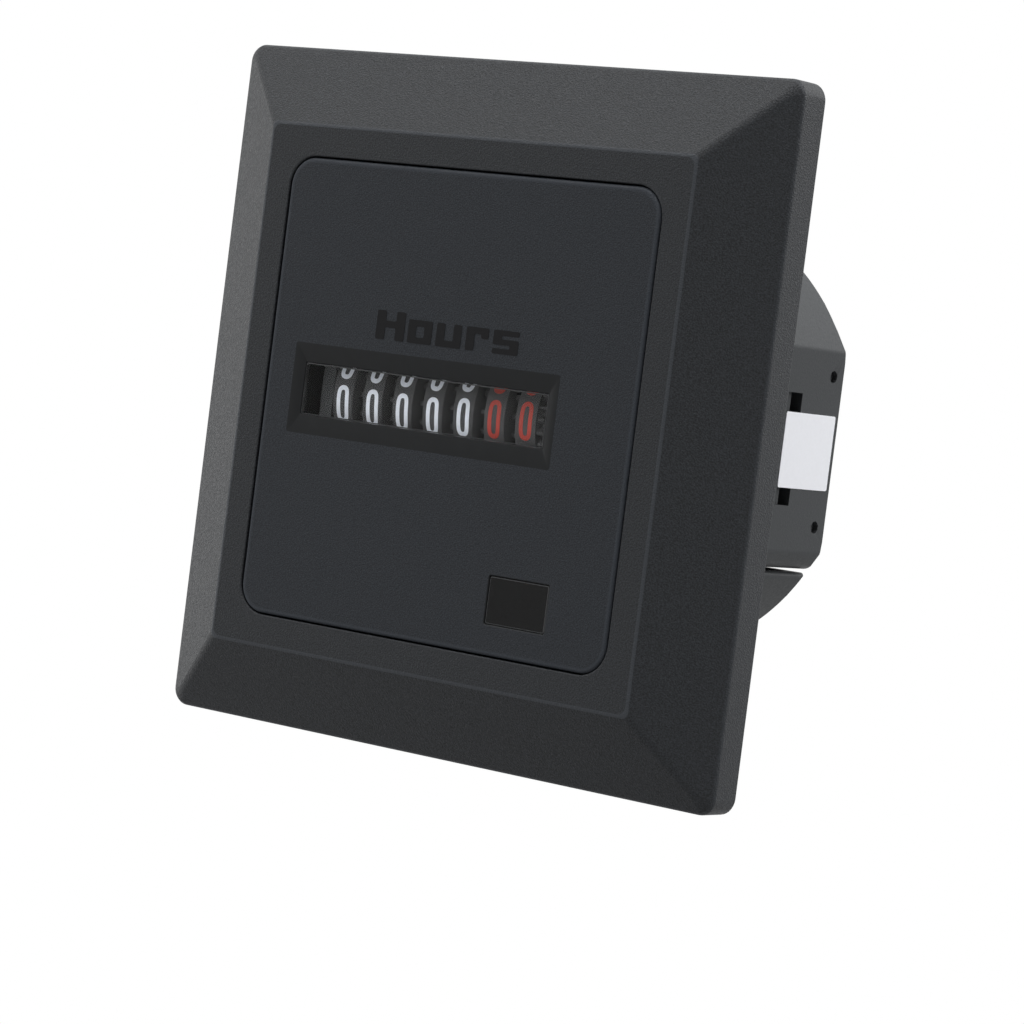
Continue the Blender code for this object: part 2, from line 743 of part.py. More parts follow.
def build_housing():
    """Drum-shaped body with a square head, flats, clamp slots and a terminal chamber below."""
    edge = BODY_EDGE_RADIUS
    profile = [(0.0, BODY_END)]
    profile += softened(
        (BODY_RADIUS, BODY_END), (0.0, BODY_END), (BODY_RADIUS, 0.0), edge, 2
    )
    profile += [(BODY_RADIUS, HEAD_REAR - GAP), (0.0, HEAD_REAR - GAP)]
    body = turned("housing", profile, "Y", (0, 0, 0), BODY_STEPS, CHARCOAL)
    cut(body, *side_blocks("flat", FLAT_X, FLAT_START, BODY_END + GAP))
    cut(
        body,
        box(
            "chamber", (-FAR, CHAMBER_FRONT, -FAR), (FAR, BODY_END + GAP, -CHAMBER_TOP)
        ),
    )
    head = lofted(
        "square_head",
        [
            (HEAD_FRONT, CORE_HALF, CORE_HALF, CORE_CORNER_RADIUS),
            (HEAD_REAR, CORE_HALF, CORE_HALF, CORE_CORNER_RADIUS),
        ],
        steps=CORNER_STEPS + 1,
    )
    ring = rod(
        "head_ring",
        COVER_HALF_INSIDE - SNUG,
        "Y",
        HEAD_FRONT - HEAD_RING_HEIGHT,
        HEAD_FRONT + GAP,
        (0, 0),
        INNER_STEPS,
    )
    for turn in (45, -45):
        bar = box(
            "ring_gap",
            (-FAR, HEAD_FRONT - HEAD_RING_HEIGHT - GAP, -HEAD_RING_GAP_WIDTH / 2),
            (FAR, HEAD_FRONT, HEAD_RING_GAP_WIDTH / 2),
        )
        bar.matrix_world = bar.matrix_world @ Matrix.Rotation(math.radians(turn), 4, "Y")
        cut(ring, bar)
    join(body, head, ring)

    hollow = turned(
        "body_hollow",
        [
            (0.0, BODY_END + GAP),
            (CAVITY_RADIUS, BODY_END + GAP),
            (CAVITY_RADIUS, HEAD_REAR + BODY_WALL),
            (HEAD_OPENING, HEAD_REAR),
            (HEAD_OPENING, HEAD_FRONT - HEAD_RING_HEIGHT - GAP),
            (0.0, HEAD_FRONT - HEAD_RING_HEIGHT - GAP),
        ],
        "Y",
        (0, 0, 0),
        INNER_STEPS,
    )
    cut(hollow, *side_blocks("flat_wall", CAVITY_X, FLAT_START - BODY_WALL, BODY_END + GAP * 2))
    cut(
        hollow,
        box("floor", (-FAR, CHAMBER_WALL_FRONT, -FAR), (FAR, BODY_END + GAP * 2, FLOOR_TOP)),
    )
    cut(body, hollow)
    lamp_well = rod(
        "lamp_well",
        LAMP_RADIUS + GAP,
        "Y",
        HEAD_FRONT - HEAD_RING_HEIGHT - GAP,
        HEAD_REAR + BODY_WALL,
        (LAMP_X, LAMP_Z),
    )
    cut(body, lamp_well)

    pillars = []
    pilots = []
    for angle in (FRAME_PILLAR_ANGLE, 180 - FRAME_PILLAR_ANGLE):
        place = near_wall(angle, PILLAR_RADIUS)
        start = BOARD_Y
        pillars.append(
            rod("frame_pillar", PILLAR_RADIUS, "Y", start, start + PILLAR_LENGTH, place)
        )
        pilots.append(frame_pilot(place, start))
    for angle in (BOARD_PILLAR_ANGLE, 180 - BOARD_PILLAR_ANGLE):
        place = near_wall(angle, PILLAR_RADIUS)
        start = BOARD_Y + BOARD_THICKNESS + GAP
        end = CHAMBER_WALL_FRONT + GAP
        pillars.append(rod("board_pillar", PILLAR_RADIUS, "Y", start, end, place))
        pilots.append(frame_pilot(place, start))
    join(body, *pillars)
    cut(body, *pilots)
    cut_flats(body)
    build_chamber(body)


def frame_pilot(place, start):
    """The hole that a small screw cuts its thread in."""
    depth = SMALL_SCREW["length"]
    radius = SMALL_SCREW["shank"] + SNUG
    return rod("pilot", radius, "Y", start - GAP, start + depth, place)


def cut_flats(body):
    """In each flat, a slot for the mounting clamp with a sunk rib, and two small catch holes."""
    slot_y = BODY_END - SLOT_FROM_REAR
    rib_y = slot_y + SLOT_WIDTH * SLOT_RIB_SHARE
    top = SLOT_HEIGHT / 2
    for side in (-1, 1):
        deep = sorted((side * (CAVITY_X - GAP), side * (FLAT_X + GAP)))
        shallow = sorted((side * (FLAT_X - SLOT_RIB_SINK), side * (FLAT_X + GAP)))
        for start, end, reach in (
            (slot_y, rib_y, deep),
            (rib_y + SLOT_RIB_WIDTH, slot_y + SLOT_WIDTH, deep),
            (slot_y, slot_y + SLOT_WIDTH, shallow),
        ):
            cut(body, box("clamp_slot", (reach[0], start, -top), (reach[1], end, top)))
        for height in (-PIN_HOLE_HEIGHT, PIN_HOLE_HEIGHT):
            cut(
                body,
                rod(
                    "catch_hole",
                    PIN_HOLE_RADIUS,
                    "X",
                    *deep,
                    (BODY_END - PIN_HOLE_FROM_REAR, height),
                ),
            )


def build_chamber(body):
    """Barrier, terminal pads and sockets on the floor and front wall of the terminal chamber."""
    top = -CHAMBER_TOP
    strip_top = top - TERMINAL_DROP
    join(
        body,
        box(
            "barrier",
            (-BARRIER_THICKNESS / 2, CHAMBER_FRONT - GAP, top - BARRIER_HEIGHT),
            (BARRIER_THICKNESS / 2, BODY_END - TERMINAL_COVER_WALL * 2, top + GAP),
        ),
    )
    for side in (-1, 1):
        x = side * TERMINAL_X
        for start in (CHAMBER_FRONT + GAP, TERMINAL_END - PAD_LENGTH):
            join(
                body,
                box(
                    "terminal_pad",
                    (x - TERMINAL_WIDTH / 2, start, strip_top + GAP),
                    (x + TERMINAL_WIDTH / 2, start + PAD_LENGTH, top + GAP),
                ),
            )
        slack = TAIL_WIDTH / 2 + SNUG
        cut(
            body,
            box(
                "tail_slot",
                (x - slack, CHAMBER_WALL_FRONT - GAP, strip_top - TERMINAL_THICKNESS - SNUG),
                (x + slack, CHAMBER_FRONT + GAP, strip_top + SNUG),
            ),
        )
        low, high = tongue_box(side, SNUG, CHAMBER_FRONT - TONGUE_REACH - SNUG)
        cut(body, box("tongue_socket", low, high))


def tongue_box(side, slack, start):
    """The corners of one of the terminal cover's two front tongues, grown by slack."""
    radius = BODY_RADIUS - TERMINAL_COVER_WALL - TONGUE_THICKNESS / 2
    z = -math.sqrt(radius**2 - TONGUE_X**2)
    half = TONGUE_WIDTH / 2 + slack
    x = side * TONGUE_X
    thick = TONGUE_THICKNESS / 2 + slack
    return (x - half, start, z - thick), (x + half, CHAMBER_FRONT + GAP, z + thick)


def build_terminal_cover():
    """Round segment that closes the terminal chamber, with two wire holes in its rear wall."""
    start = CHAMBER_FRONT + GAP
    top = -CHAMBER_TOP - SLIT
    profile = [(0.0, BODY_END)]
    profile += softened(
        (BODY_RADIUS, BODY_END), (0.0, BODY_END), (BODY_RADIUS, 0.0), BODY_EDGE_RADIUS, 2
    )
    profile += [(BODY_RADIUS, start), (0.0, start)]
    cover = turned("terminal_cover", profile, "Y", (0, 0, 0), BODY_STEPS, CHARCOAL)
    cut(
        cover,
        box("above_slit", (-FAR, start - GAP, top), (FAR, BODY_END + GAP, FAR)),
        rod(
            "chamber_hollow",
            BODY_RADIUS - TERMINAL_COVER_WALL,
            "Y",
            start - GAP,
            BODY_END - TERMINAL_COVER_WALL,
            (0, 0),
            INNER_STEPS,
        ),
    )
    for side in (-1, 1):
        low, high = tongue_box(side, 0.0, CHAMBER_FRONT - TONGUE_REACH)
        high = (high[0], high[1] + TONGUE_WIDTH, high[2])
        tongue = box("tongue", low, high)
        root = box(
            "tongue_root",
            (low[0], start, low[2] - TONGUE_THICKNESS),
            (high[0], high[1], high[2]),
        )
        join(cover, root, tongue)
        cut(
            cover,
            rod(
                "wire_hole",
                WIRE_HOLE_RADIUS,
                "Y",
                BODY_END - TERMINAL_COVER_WALL - GAP,
                BODY_END + GAP,
                (side * TERMINAL_X, top - WIRE_HOLE_DROP),
            ),
        )


def build_rear_cover():
    """Plate that closes the body behind, with two side tongues and catches in the small holes."""
    start = BODY_END - BODY_WALL
    plate = rod(
        "rear_cover",
        CAVITY_RADIUS - GAP,
        "Y",
        start,
        BODY_END,
        (0, 0),
        INNER_STEPS,
        CHARCOAL,
    )
    cut(plate, *side_blocks("rear_side", CAVITY_X - GAP, start - GAP, BODY_END + GAP))
    cut(
        plate,
        box(
            "rear_below",
            (-FAR, start - GAP, -FAR),
            (FAR, BODY_END + GAP, FLOOR_TOP + GAP),
        ),
    )
    panel = (REAR_PANEL_WIDTH / 2, REAR_PANEL_HEIGHT / 2, REAR_PANEL_CORNER_RADIUS)
    cut(
        plate,
        lofted(
            "rating_recess",
            [(BODY_END - REAR_PANEL_DEPTH, *panel), (BODY_END + GAP, *panel)],
            (0.0, REAR_PANEL_HEIGHT / 2),
            2,
        ),
    )
    catch_y = BODY_END - PIN_HOLE_FROM_REAR
    reach = PIN_HOLE_HEIGHT + PIN_HOLE_RADIUS * 3
    for side in (-1, 1):
        span = sorted((side * (CAVITY_X - GAP), side * (CAVITY_X - GAP - BODY_WALL)))
        tongue = box(
            "side_tongue",
            (span[0], catch_y - PIN_HOLE_RADIUS * 2, -reach),
            (span[1], start + GAP, reach),
        )
        join(plate, tongue)
        for height in (-PIN_HOLE_HEIGHT, PIN_HOLE_HEIGHT):
            ends = sorted((side * (CAVITY_X - GAP * 2), side * (FLAT_X - SLOT_RIB_SINK)))
            join(
                plate,
                rod(
                    "catch",
                    PIN_HOLE_RADIUS - SNUG,
                    "X",
                    *ends,
                    (catch_y, height),
                    FINE_STEPS,
                ),
            )


def screw(name, kind, axis, direction, seat, across):
    """A slotted screw. Its head stands on seat and its shank runs on in the direction."""
    shank, head = kind["shank"], kind["head"]
    tip = kind["length"]
    profile = [
        (0.0, 0.0),
        (head * HEAD_TOP_SHARE, 0.0),
        (head, kind["height"] * HEAD_TAPER_SHARE),
        (head, kind["height"]),
        (shank, kind["height"]),
        (shank, kind["height"] + tip),
        (0.0, kind["height"] + tip),
    ]
    if direction > 0:
        profile = [(r, seat - kind["height"] + d) for r, d in profile]
        profile.reverse()
    else:
        profile = [(r, seat + kind["height"] - d) for r, d in profile]
    place = list(across)
    place.insert("XYZ".index(axis), 0.0)
    item = turned(name, profile, axis, place, FINE_STEPS, STEEL)
    top = seat - direction * kind["height"]
    depth = direction * kind["height"] * SLOT_DEPTH_SHARE
    ends = sorted((top - direction * GAP, top + depth))
    wide, thin = head + GAP, head * SLOT_SHARE / 2
    low = {"X": (ends[0], -wide, -thin), "Y": (-wide, ends[0], -thin), "Z": (-wide, -thin, ends[0])}
    high = {"X": (ends[1], wide, thin), "Y": (wide, ends[1], thin), "Z": (wide, thin, ends[1])}
    cut(
        item,
        box(
            name + "_slot",
            [a + b for a, b in zip(low[axis], place)],
            [a + b for a, b in zip(high[axis], place)],
        ),
    )


def build_terminals():
    """Left and right: a brass strip through the chamber wall, a saddle clamp and its screw."""
    top = -CHAMBER_TOP - TERMINAL_DROP
    bottom = top - TERMINAL_THICKNESS
    clamp_top = bottom - CLAMP_OPENING
    clamp_bottom = clamp_top - TERMINAL_THICKNESS
    start = CHAMBER_FRONT + GAP
    tail_start = BOARD_Y + BOARD_THICKNESS + GAP
    for side, word in ((-1, "left"), (1, "right")):
        x = side * TERMINAL_X
        half, tail = TERMINAL_WIDTH / 2, TAIL_WIDTH / 2
        outline = [
            (x - tail, tail_start),
            (x + tail, tail_start),
            (x + tail, start),
            (x + half, start + TERMINAL_THICKNESS),
            (x + half, TERMINAL_END),
            (x - half, TERMINAL_END),
            (x - half, start + TERMINAL_THICKNESS),
            (x - tail, start),
        ]
        strip = extruded("terminal_plate_" + word, outline, "Z", bottom, top, finish=BRASS)
        hole = TERMINAL_SCREW["shank"] + SNUG
        place = (x, TERMINAL_SCREW_Y)
        cut(strip, rod("strip_hole", hole, "Z", bottom - GAP, top + GAP, place))
        saddle = [
            (-half, clamp_top),
            (-half, clamp_bottom),
            (-half * 0.5, clamp_bottom - TERMINAL_THICKNESS / 2),
            (half * 0.5, clamp_bottom - TERMINAL_THICKNESS / 2),
            (half, clamp_bottom),
            (half, clamp_top),
            (half * 0.5, clamp_top - TERMINAL_THICKNESS / 2),
            (-half * 0.5, clamp_top - TERMINAL_THICKNESS / 2),
        ]
        clamp = extruded(
            "terminal_clamp_" + word,
            saddle,
            "Y",
            TERMINAL_SCREW_Y - half,
            TERMINAL_SCREW_Y + half,
            (x, 0.0),
            finish=STEEL,
        )
        low = clamp_bottom - TERMINAL_THICKNESS / 2
        cut(clamp, rod("clamp_hole", hole, "Z", low - GAP, clamp_top + GAP, place))
        screw("terminal_screw_" + word, TERMINAL_SCREW, "Z", 1, low - GAP, place)


def transfer_outline():
    """Locking disc with a notch and two carry teeth, cut short so that it clears the pinion."""
    pinion_tip = CARRY_MODULE * (CARRY_LEAVES / 2 + ADDENDUM)
    tip = CARRY_DISTANCE - pinion_tip - CARRY_CLEARANCE
    lock = tip - LOCK_DEPTH
    floor = lock - LOCK_DEPTH
    pitch = 360 / RING_TEETH
    points = []
    for step in range(LOCK_STEPS + 1):
        points.append(polar(lock, pitch + (360 - 2 * pitch) * step / LOCK_STEPS))
    for middle in (-pitch / 2, pitch / 2):
        root, crown = pitch * WHEEL_SHARES[0] / 2, pitch * WHEEL_SHARES[1] / 2
        points.append(polar(floor, middle - root))
        points.append(polar(tip, middle - crown))
        points.append(polar(tip, middle + crown))
        points.append(polar(floor, middle + root))
    return points


def build_counter():
    """Number drums on their shaft and carry pinions on theirs."""
    ring_half = BAND_WIDTH / 2
    lap = RING_WIDTH / 3
    pinion_place = (DRUM_Y, -CARRY_DISTANCE)
    leaf_turn = mesh_turn(RING_TEETH, 0.0, CARRY_LEAVES, -math.pi / 2)
    for index in range(DRUM_COUNT):
        x = FIRST_DRUM_X + DRUM_PITCH * index
        number = str(index + 1)
        drum = rod(
            "digit_drum_" + number,
            DRUM_RADIUS,
            "X",
            x - ring_half,
            x + ring_half,
            (DRUM_Y, 0.0),
            DRUM_STEPS,
            BLACK,
        )
        right = x + ring_half
        if index < DRUM_COUNT - 1:
            outline = gear_outline(RING_TEETH, CARRY_MODULE, WHEEL_SHARES)
            width = RING_WIDTH
        else:
            outline = gear_outline(DRUM_GEAR_TEETH, TRAIN_MODULE, WHEEL_SHARES)
            width = WHEEL_WIDTH
        join(
            drum,
            extruded("ring_" + number, outline, "X", right - lap, right + width, (DRUM_Y, 0.0)),
        )
        if index:
            left = x - ring_half
            join(
                drum,
                extruded(
                    "transfer_" + number,
                    transfer_outline(),
                    "X",
                    left - RING_WIDTH,
                    left + lap,
                    (DRUM_Y, 0.0),
                    -math.pi / 2,
                ),
            )
        bore = rod(
            "drum_bore",
            SHAFT_RADIUS + RUNNING,
            "X",
            x - DRUM_PITCH,
            x + DRUM_PITCH,
            (DRUM_Y, 0.0),
        )
        cut(drum, bore)
        if index == DRUM_COUNT - 1:
            continue
        start = right + CARRY_PLAY
        end = x + DRUM_PITCH - ring_half - CARRY_PLAY
        leaves = gear_outline(CARRY_LEAVES, CARRY_MODULE, LEAF_SHARES)
        long_leaves = gear_outline(CARRY_LEAVES, CARRY_MODULE, LEAF_SHARES, every=2)
        pinion = extruded(
            "transfer_pinion_" + number,
            leaves,
            "X",
            start,
            right + RING_WIDTH,
            pinion_place,
            leaf_turn,
            NATURAL,
        )
        join(
            pinion,
            extruded(
                "long_leaves_" + number,
                long_leaves,
                "X",
                right + RING_WIDTH - lap,
                end,
                pinion_place,
                leaf_turn,
            ),
        )
        hole = PINION_SHAFT_RADIUS + RUNNING
        cut(pinion, rod("pinion_bore", hole, "X", start - GAP, end + GAP, pinion_place))


def build_train():
    """Second wheel, first wheel and rotor with their studs, each in mesh with the next."""
    second_turn = mesh_turn(DRUM_GEAR_TEETH, 0.0, LEAVES, FOLD)
    first_turn = mesh_turn(SECOND_TEETH, second_turn, LEAVES, -FOLD)
    rotor_turn = mesh_turn(FIRST_TEETH, first_turn, LEAVES, FOLD)
    leaves = gear_outline(LEAVES, TRAIN_MODULE, LEAF_SHARES)
    hub_end = RIGHT_PLATE - RUNNING * 2
    stud_end = RIGHT_PLATE + PLATE_THICKNESS - RUNNING * 2
    for word, teeth, layer, pinion_start, axis, turn in (
        ("second", SECOND_TEETH, LAYER_1, LAYER_0, SECOND_AXIS, second_turn),
        ("first", FIRST_TEETH, LAYER_2, LAYER_1, FIRST_AXIS, first_turn),
    ):
        wheel = extruded(
            word + "_wheel",
            gear_outline(teeth, TRAIN_MODULE, WHEEL_SHARES),
            "X",
            layer,
            layer + WHEEL_WIDTH,
            axis,
            turn,
            BRASS if word == "second" else NATURAL,
        )
        join(
            wheel,
            extruded(
                word + "_pinion", leaves, "X", pinion_start, layer + LAYER_GAP, axis, turn
            ),
            rod(word + "_hub", HUB_RADIUS, "X", layer + LAYER_GAP, hub_end, axis),
        )
        cut(
            wheel,
            rod(
                word + "_bore",
                STUD_RADIUS + RUNNING,
                "X",
                pinion_start - GAP,
                hub_end + GAP,
                axis,
                FINE_STEPS,
            ),
        )
        head = STUD_RADIUS + SNUG
        turned(
            word + "_stud",
            [
                (0.0, stud_end),
                (STUD_RADIUS, stud_end),
                (STUD_RADIUS, pinion_start - RUNNING),
                (head, pinion_start - RUNNING),
                (head, pinion_start - RUNNING - STUD_RADIUS),
                (0.0, pinion_start - RUNNING - STUD_RADIUS),
            ],
            "X",
            (0.0, *axis),
            FINE_STEPS,
            STEEL,
        )
    magnet_start = STATOR_X - RUNNING
    magnet_end = STATOR_X + STATOR_THICKNESS + RUNNING
    rotor = turned(
        "rotor",
        [
            (0.0, stud_end),
            (ARBOR_RADIUS, stud_end),
            (ARBOR_RADIUS, magnet_end),
            (MAGNET_RADIUS, magnet_end),
            (MAGNET_RADIUS, magnet_start),
            (ARBOR_RADIUS, magnet_start),
            (ARBOR_RADIUS, STATOR_X - BRIDGE_RISE - GAP - BRIDGE_THICKNESS),
            (0.0, STATOR_X - BRIDGE_RISE - GAP - BRIDGE_THICKNESS),
        ],
        "X",
        (0.0, *ROTOR_AXIS),
        SMALL_STEPS,
        STEEL,
    )
    join(
        rotor,
        extruded(
            "rotor_pinion",
            leaves,
            "X",
            LAYER_2 - RUNNING,
            hub_end - RUNNING,
            ROTOR_AXIS,
            rotor_turn,
        ),
    )


def plate_screw_places():
    """The (y, z) places of the three screws that hold the motor plate to the carrier."""
    clear = POST_RADIUS + GAP + TRAIN_MODULE
    second = TRAIN_MODULE * SECOND_TEETH / 2 + clear
    first = TRAIN_MODULE * FIRST_TEETH / 2 + clear
    above = polar(second, PLATE_SCREW_ANGLES[0])
    behind = polar(first + POST_RADIUS, PLATE_SCREW_ANGLES[1])
    below = polar(first + POST_RADIUS / 2, PLATE_SCREW_ANGLES[2])
    return [
        (SECOND_AXIS[0] + above[0], SECOND_AXIS[1] + above[1]),
        (FIRST_AXIS[0] + behind[0], FIRST_AXIS[1] + behind[1]),
        (FIRST_AXIS[0] + below[0], FIRST_AXIS[1] + below[1]),
    ]


def rounded_outline(corners, radius, steps=2):
    """A polygon with each of its corners rounded."""
    points = []
    for i, corner in enumerate(corners):
        after = corners[(i + 1) % len(corners)]
        points += softened(corner, corners[i - 1], after, radius, steps)
    return points


def build_counter_frame():
    """One moulding: two side plates joined by two beams, with two screw ears above."""
    clear = DRUM_RADIUS + BEAM_CLEARANCE
    top = clear + BEAM_THICKNESS
    bottom = -CARRY_DISTANCE - CARRY_MODULE * CARRY_LEAVES / 2 - PLATE_MARGIN / 3
    nose = DRUM_Y - DRUM_RADIUS + GAP
    beam_y = DRUM_Y + DRUM_RADIUS + GAP
    beam_end = beam_y + BEAM_THICKNESS
    beam_low = -CARRY_DISTANCE - BEAM_THICKNESS
    face = [
        (DRUM_Y - CARRY_MODULE * CARRY_LEAVES / 2, bottom),
        (nose, -DRUM_RADIUS * NOSE_SHARE),
        (nose, DRUM_RADIUS * NOSE_SHARE),
        (DRUM_Y + DRUM_RADIUS * SHOULDER_SHARES[0], top),
    ]
    screws = plate_screw_places()
    radius = PLATE_MARGIN / 2
    left = face + [
        (DRUM_Y + DRUM_RADIUS * SHOULDER_SHARES[1], top),
        (beam_end, DRUM_RADIUS * 0.3),
        (beam_end, beam_low),
        (DRUM_Y + CARRY_MODULE * CARRY_LEAVES / 2, bottom),
    ]
    behind = ROTOR_AXIS[0] + PLATE_MARGIN
    right = face + [
        (DRUM_Y + DRUM_RADIUS * SHOULDER_SHARES[1], top),
        (screws[0][0], screws[0][1] + PLATE_MARGIN),
        (screws[1][0] + PLATE_MARGIN, screws[1][1] + PLATE_MARGIN),
        (behind, ROTOR_AXIS[1] - PLATE_MARGIN),
        (screws[2][0] + PLATE_MARGIN, screws[2][1] - PLATE_MARGIN),
        (beam_end, beam_low - PLATE_MARGIN / 4),
        (DRUM_Y + CARRY_MODULE * CARRY_LEAVES / 2, bottom),
    ]
    start, end = LEFT_PLATE - PLATE_THICKNESS, RIGHT_PLATE + PLATE_THICKNESS
    frame = extruded(
        "counter_frame",
        rounded_outline(left, radius),
        "X",
        start,
        LEFT_PLATE,
        finish=GREY,
    )
    join(
        frame,
        box(
            "top_beam",
            (LEFT_PLATE - GAP, DRUM_Y + DRUM_RADIUS * TOP_BEAM_SHARES[0], clear),
            (RIGHT_PLATE + GAP, DRUM_Y + DRUM_RADIUS * TOP_BEAM_SHARES[1], top - GAP / 3),
        ),
        box(
            "rear_beam",
            (LEFT_PLATE - GAP, beam_y, beam_low + GAP),
            (RIGHT_PLATE + GAP, beam_end - GAP / 3, beam_low + BEAM_THICKNESS * 3),
        ),
        extruded(
            "right_plate", rounded_outline(right, radius), "X", RIGHT_PLATE, end
        ),
    )
    ear_end = BOARD_Y - GAP
    ear_start = ear_end - BEAM_THICKNESS
    ear_half = SMALL_SCREW["head"] + RUNNING
    for angle in (FRAME_PILLAR_ANGLE, 180 - FRAME_PILLAR_ANGLE):
        x, z = near_wall(angle, PILLAR_RADIUS)
        root = max(LEFT_PLATE, min(RIGHT_PLATE, x))
        join(
            frame,
            box(
                "ear_arm",
                (min(x, root) - ear_half, ear_start, clear + GAP),
                (max(x, root) + ear_half, ear_end, z),
            ),
            rod("ear", ear_half, "Y", ear_start, ear_end, (x, z)),
        )
        hole = SMALL_SCREW["shank"] + SNUG
        cut(frame, rod("ear_hole", hole, "Y", ear_start - GAP, ear_end + GAP, (x, z)))
    for radius, z in ((SHAFT_RADIUS, 0.0), (PINION_SHAFT_RADIUS, -CARRY_DISTANCE)):
        place = (DRUM_Y, z)
        hole = radius + RUNNING
        cut(frame, rod("shaft_hole", hole, "X", start - GAP, end + GAP, place))
    hole = STUD_RADIUS + RUNNING
    for axis in (SECOND_AXIS, FIRST_AXIS, ROTOR_AXIS):
        cut(frame, rod("pivot_hole", hole, "X", RIGHT_PLATE - GAP, end + GAP, axis, FINE_STEPS))
    hole = FINE_SCREW["shank"] + SNUG
    for place in screws:
        cut(frame, rod("screw_hole", hole, "X", RIGHT_PLATE - GAP, end + GAP, place, FINE_STEPS))


def build_shafts():
    """The drums' shaft and the carry pinions' shaft, each with a head at its left end."""
    for name, radius, z in (
        ("drum_shaft", SHAFT_RADIUS, 0.0),
        ("pinion_shaft", PINION_SHAFT_RADIUS, -CARRY_DISTANCE),
    ):
        head = radius + RUNNING * 3
        left = LEFT_PLATE - PLATE_THICKNESS - RUNNING
        turned(
            name,
            [
                (0.0, RIGHT_PLATE + PLATE_THICKNESS),
                (radius, RIGHT_PLATE + PLATE_THICKNESS),
                (radius, left),
                (head, left),
                (head, left - SHAFT_HEAD),
                (0.0, left - SHAFT_HEAD),
            ],
            "X",
            (0.0, DRUM_Y, z),
            SMALL_STEPS,
            STEEL,
        )


def build_motor():
    """Stepping motor: stator, coil and rotor bridge on a plate behind the drums."""
    y, z = ROTOR_AXIS
    leg = COIL_LENGTH / 2
    coil_y = y - COIL_FORWARD
    half = STATOR_WIDTH / 2
    x0, x1 = STATOR_X, STATOR_X + STATOR_THICKNESS
    stator = box(
        "motor_stator",
        (x0, y - half, z - leg - STATOR_WIDTH),
        (x1, y + half, z + leg + STATOR_WIDTH),
        STEEL,
    )
    for low in (z - leg - STATOR_WIDTH, z + leg):
        join(
            stator,
            box("stator_leg", (x0, coil_y - half, low), (x1, y, low + STATOR_WIDTH)),
        )
    join(stator, rod("stator_eye", STATOR_EYE_RADIUS, "X", x0, x1, (y, z), COIL_STEPS))
    cut(
        stator,
        rod("rotor_hole", MAGNET_RADIUS + AIR_GAP, "X", x0 - GAP, x1 + GAP, (y, z), COIL_STEPS),
    )
    screws = [(y, z - BRIDGE_SCREW_REACH), (y, z + BRIDGE_SCREW_REACH)]
    hole = FINE_SCREW["shank"] + SNUG
    for place in screws:
        cut(stator, rod("stator_hole", hole, "X", x0 - GAP, x1 + GAP, place, FINE_STEPS))

    middle = (x0 + x1) / 2
    box(
        "coil_core",
        (x0, coil_y - CORE_WIDTH / 2, z - leg + GAP),
        (x1, coil_y + CORE_WIDTH / 2, z + leg - GAP),
        STEEL,
    )
    ends = (z - leg + GAP * 2, z + leg - GAP * 2)
    flange = COIL_RADIUS + SNUG
    bobbin = turned(
        "coil_bobbin",
        [
            (0.0, ends[1]),
            (flange, ends[1]),
            (flange, ends[1] - BOBBIN_FLANGE),
            (BARREL_RADIUS, ends[1] - BOBBIN_FLANGE),
            (BARREL_RADIUS, ends[0] + BOBBIN_FLANGE),
            (flange, ends[0] + BOBBIN_FLANGE),
            (flange, ends[0]),
            (0.0, ends[0]),
        ],
        "Z",
        (middle, coil_y, 0.0),
        COIL_STEPS,
        NATURAL,
    )
    cut(
        bobbin,
        box(
            "bobbin_bore",
            (x0 - SNUG, coil_y - CORE_WIDTH / 2 - SNUG, ends[0] - GAP),
            (x1 + SNUG, coil_y + CORE_WIDTH / 2 + SNUG, ends[1] + GAP),
        ),
    )
    low, high = ends[0] + BOBBIN_FLANGE + RUNNING, ends[1] - BOBBIN_FLANGE - RUNNING
    turned(
        "coil_winding",
        [
            (COIL_RADIUS, high),
            (COIL_RADIUS, low),
            (BARREL_RADIUS + RUNNING, low),
            (BARREL_RADIUS + RUNNING, high),
        ],
        "Z",
        (middle, coil_y, 0.0),
        COIL_STEPS,
        COPPER,
    )

    bridge_x = x0 - GAP - BRIDGE_RISE - BRIDGE_THICKNESS
    bridge = box(
        "rotor_bridge",
        (bridge_x, y - half, screws[0][1] - half),
        (bridge_x + BRIDGE_THICKNESS, y + half, screws[1][1] + half),
        BRASS,
    )
    for place in screws:
        join(
            bridge,
            box(
                "bridge_foot",
                (bridge_x, y - half, place[1] - half),
                (x0 - GAP, y + half, place[1] + half),
            ),
        )
        cut(bridge, rod("bridge_hole", hole, "X", bridge_x - GAP, x0, place, FINE_STEPS))
    pivot = ARBOR_RADIUS + RUNNING
    cut(bridge, rod("bridge_pivot", pivot, "X", bridge_x - GAP, x0, (y, z), FINE_STEPS))
    for number, place in enumerate(screws, 1):
        screw("bridge_screw_" + str(number), FINE_SCREW, "X", 1, bridge_x - RUNNING, place)
    build_motor_plate(screws)


